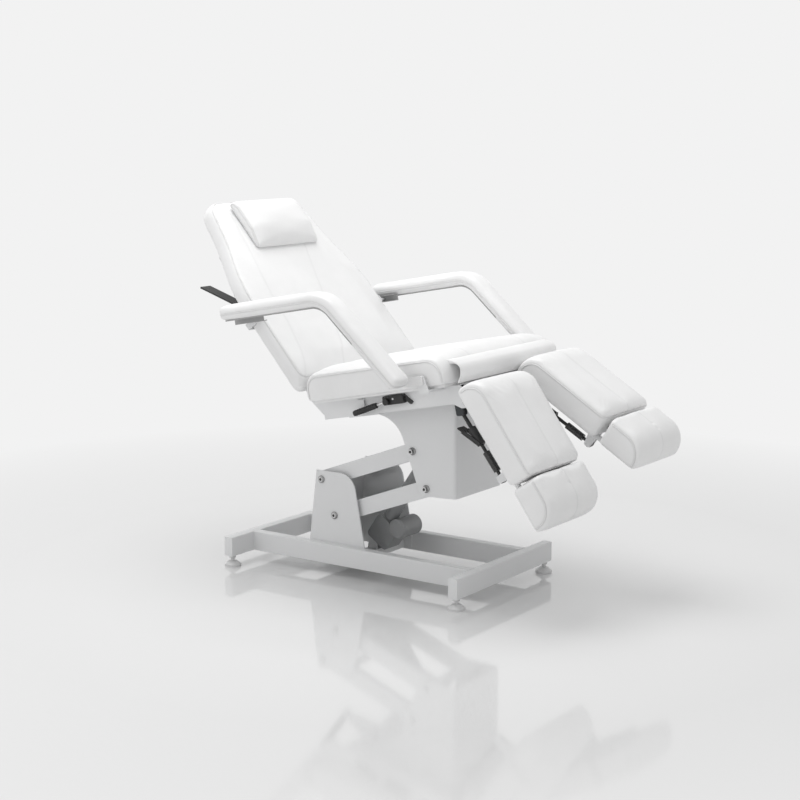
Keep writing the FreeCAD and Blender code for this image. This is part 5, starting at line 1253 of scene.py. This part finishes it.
@dataclass
class Hardware:
    """Small fittings on the CAD nodes: washer rims with painted-shade hex socket discs, screws, threads
    and ribs.
    """

    finishes: Finishes
    tower_face: float = 0.1330
    column_face: float = 0.1373
    tower_bolts: tuple[tuple[float, float], ...] = ((-0.2959, 0.2847), (-0.2472, 0.1792))
    column_bolts: tuple[tuple[float, float], ...] = ((0.0373, 0.4086), (0.0860, 0.3031))
    feet: tuple[tuple[str, float, float], ...] = (
        ("foot_front_near", 0.2691, -0.2425),
        ("foot_front_far", 0.2691, 0.2425),
        ("foot_rear_near", -0.5549, -0.2425),
        ("foot_rear_far", -0.5549, 0.2425),
    )

    def rod(
        self,
        name: str,
        centre: Vector,
        axis: Vector,
        radius: float,
        length: float,
        sides: int = 40,
        edge: float = 0.0005,
    ) -> bpy.types.Object:
        """Make a rod with softened ends.

        Args:
            name: Its name.
            centre: Its middle.
            axis: Its direction.
            radius: Its radius.
            length: Its length.
            sides: Number of flats.
            edge: Width of its softened edge.

        Returns:
            The rod, at the origin.
        """
        bpy.ops.object.select_all(action="DESELECT")
        turn = axis.to_track_quat("Z", "Y").to_euler()
        bpy.ops.mesh.primitive_cylinder_add(
            vertices=sides, radius=radius, depth=length, location=centre, rotation=turn
        )
        item = bpy.context.object
        item.name = name
        settle(item)
        if edge:
            apply_modifier(item, "BEVEL", width=edge, segments=2, limit_method="ANGLE")
        return item

    def group(
        self, name: str, items: list[bpy.types.Object], material: bpy.types.Material
    ) -> bpy.types.Object:
        """Join pieces into one, dress it and shade it."""
        select_only(*items)
        bpy.ops.object.join()
        joined = bpy.context.object
        joined.name = name
        dress(joined, material)
        shade(joined, 35.0)
        return joined

    def sockets(self) -> None:
        """Put a washer ring on each pivot head, and a thin black hex disc as painted shade standing for
        its hex socket.
        """
        rows = (
            ("tower", "base", self.tower_face, self.tower_bolts),
            ("column", "column", self.column_face, self.column_bolts),
        )
        for label, body, face, places in rows:
            socket_shade_discs, rims = [], []
            for sign in (-1.0, 1.0):
                for number, (x, z) in enumerate(places):
                    middle = Vector((x, sign * face, z))
                    # Painted shade: a thin black hex disc on the bolt head stands for the shade in its hex
                    # socket.
                    socket_shade_discs.append(self.rod("hex_%d" % number, middle, ACROSS, 0.0048, 0.0007, 6, 0.0))
                    rims.append(self.rod("rim_%d" % number, middle, ACROSS, 0.0075, 0.0004, 40, 0.0))
            publish(self.group(label + "_bolt_socket_shade", socket_shade_discs, self.finishes.black), body, Slot.PLASTIC)
            publish(self.group(label + "_bolt_rims", rims, self.finishes.steel), body, Slot.STEEL)

    def foot_threads(self) -> None:
        """Put the steel stud and its thread on each levelling foot."""
        for body, x, y in self.feet:
            stud = [self.rod("stud", Vector((x, y, 0.0275)), UP, 0.0054, 0.012)]
            for turn in range(7):
                level = 0.0222 + turn * 0.0017
                stud.append(self.rod("turn", Vector((x, y, level)), UP, 0.0060, 0.0009, 32, 0.0003))
            publish(self.group("stud_" + body, stud, self.finishes.bolt), body, Slot.STEEL)

    def seat_lever(self) -> None:
        """Put the bright link and the ribbed grip on the seat lever, and the screw on its block."""
        start = SEAT.point(0.236, 0.0, -0.027)
        lever = Place(start.x, start.z, SEAT.angle + 10.5)
        across = -0.2560
        along = lever.point(1.0, 0.0, 0.0) - lever.point(0.0, 0.0, 0.0)
        link = self.rod("link", lever.point(-0.0205, across, 0.0), along, 0.0043, 0.0265)
        publish(self.group("seat_lever_link", [link], self.finishes.steel), "seat_lever", Slot.STEEL)
        ribs = []
        for number in range(9):
            place = lever.point(-0.0440 - number * 0.0085, across, 0.0)
            ribs.append(self.rod("rib", place, along, 0.0090, 0.0036, 32, 0.0010))
        publish(self.group("seat_lever_ribs", ribs, self.finishes.black), "seat_lever", Slot.PLASTIC)
        screw = self.rod("screw", SEAT.point(0.257, -0.2498, -0.021), ACROSS, 0.0030, 0.0016)
        publish(self.group("release_block_screw", [screw], self.finishes.white), "seat", Slot.STEEL)

    def build(self) -> None:
        """Build all fittings."""
        self.sockets()
        self.foot_threads()
        self.seat_lever()


class Studio:
    """Floor, backdrop, lamps and camera."""

    CAMERA = (2.7752, -4.0887, 1.3755)
    CAMERA_TURN = (80.3907, 0.0, 35.0661)
    LENS = 76.05
    SKY = 0.888
    AMBIENT = 0.58

    def world(self) -> None:
        """Light the scene softly and show an even pale background."""
        world = bpy.data.worlds.new("studio")
        bpy.context.scene.world = world
        world.use_nodes = True
        tree = world.node_tree
        tree.nodes.clear()
        rays = tree.nodes.new("ShaderNodeLightPath")
        seen = tree.nodes.new("ShaderNodeMath")
        seen.operation = "MAXIMUM"
        tree.links.new(rays.outputs["Is Camera Ray"], seen.inputs[0])
        tree.links.new(rays.outputs["Is Glossy Ray"], seen.inputs[1])
        through = tree.nodes.new("ShaderNodeMath")
        through.operation = "MAXIMUM"
        tree.links.new(seen.outputs[0], through.inputs[0])
        tree.links.new(rays.outputs["Is Transmission Ray"], through.inputs[1])
        lamp = tree.nodes.new("ShaderNodeBackground")
        lamp.inputs["Color"].default_value = grey(1.0)
        lamp.inputs["Strength"].default_value = self.AMBIENT
        shown = tree.nodes.new("ShaderNodeBackground")
        shown.inputs["Color"].default_value = grey(self.SKY)
        shown.inputs["Strength"].default_value = 1.0
        mix = tree.nodes.new("ShaderNodeMixShader")
        tree.links.new(through.outputs[0], mix.inputs[0])
        tree.links.new(lamp.outputs[0], mix.inputs[1])
        tree.links.new(shown.outputs[0], mix.inputs[2])
        out = tree.nodes.new("ShaderNodeOutputWorld")
        tree.links.new(mix.outputs[0], out.inputs["Surface"])

    def floor(self) -> None:
        """Lay the glossy pale floor that fades into the background."""
        bpy.ops.object.select_all(action="DESELECT")
        bpy.ops.mesh.primitive_plane_add(size=60.0, location=(0, 0, 0))
        floor = bpy.context.object
        floor.name = "studio_floor"
        g = Graph("studio_floor")
        dist = g.add("ShaderNodeVectorMath", {0: g.where}, operation="LENGTH").outputs["Value"]
        fade = g.span(dist, 1.3, 2.6, 0.0, 1.0)
        g.finish(Base_Color=grey(0.78), Roughness=0.07, Specular_IOR_Level=0.9)
        glow = g.add("ShaderNodeEmission", {"Color": grey(self.SKY), "Strength": 1.0})
        mix = g.add("ShaderNodeMixShader", {0: fade, 1: g.shader.outputs[0], 2: glow.outputs[0]})
        out = g.tree.nodes["Material Output"]
        g.tree.links.new(mix.outputs[0], out.inputs["Surface"])
        dress(floor, g.material)

    def lamp(
        self, name: str, place: Sequence[float], aim: Sequence[float], size: float, power: float
    ) -> None:
        """Add one soft area lamp.

        Args:
            name: Its name.
            place: Where it hangs.
            aim: What it points at.
            size: Edge of its square.
            power: Power in watts.
        """
        data = bpy.data.lights.new(name, "AREA")
        data.size = size
        data.energy = power
        item = bpy.data.objects.new(name, data)
        bpy.context.scene.collection.objects.link(item)
        item.location = place
        item.rotation_euler = (Vector(aim) - Vector(place)).to_track_quat("-Z", "Y").to_euler()

    def camera(self) -> None:
        """Set the camera at the photograph's viewpoint."""
        data = bpy.data.cameras.new("camera")
        data.lens = self.LENS
        data.sensor_width = 36.0
        data.clip_end = 200.0
        item = bpy.data.objects.new("camera", data)
        bpy.context.scene.collection.objects.link(item)
        item.location = self.CAMERA
        item.rotation_euler = [math.radians(angle) for angle in self.CAMERA_TURN]
        bpy.context.scene.camera = item

    def build(self) -> None:
        """Build the whole studio."""
        self.camera()
        self.world()
        self.floor()
        self.lamp("top", (-0.5, -0.2, 3.4), (0.1, 0.0, 0.4), 2.4, 62.0)
        self.lamp("fill", (-1.2, -3.2, 1.4), (0.0, 0.0, 0.3), 1.6, 9.0)
        bpy.context.scene.view_settings.view_transform = "Standard"


def main() -> None:
    """Build the chair's looks and the studio."""
    logging.basicConfig(level=logging.INFO, format="%(message)s")
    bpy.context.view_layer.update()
    finishes = Finishes()
    CarriedOver(finishes).dress_nodes()
    Upholstery(finishes).build()
    Hardware(finishes).build()
    Studio().build()


if __name__ == "__main__":
    main()
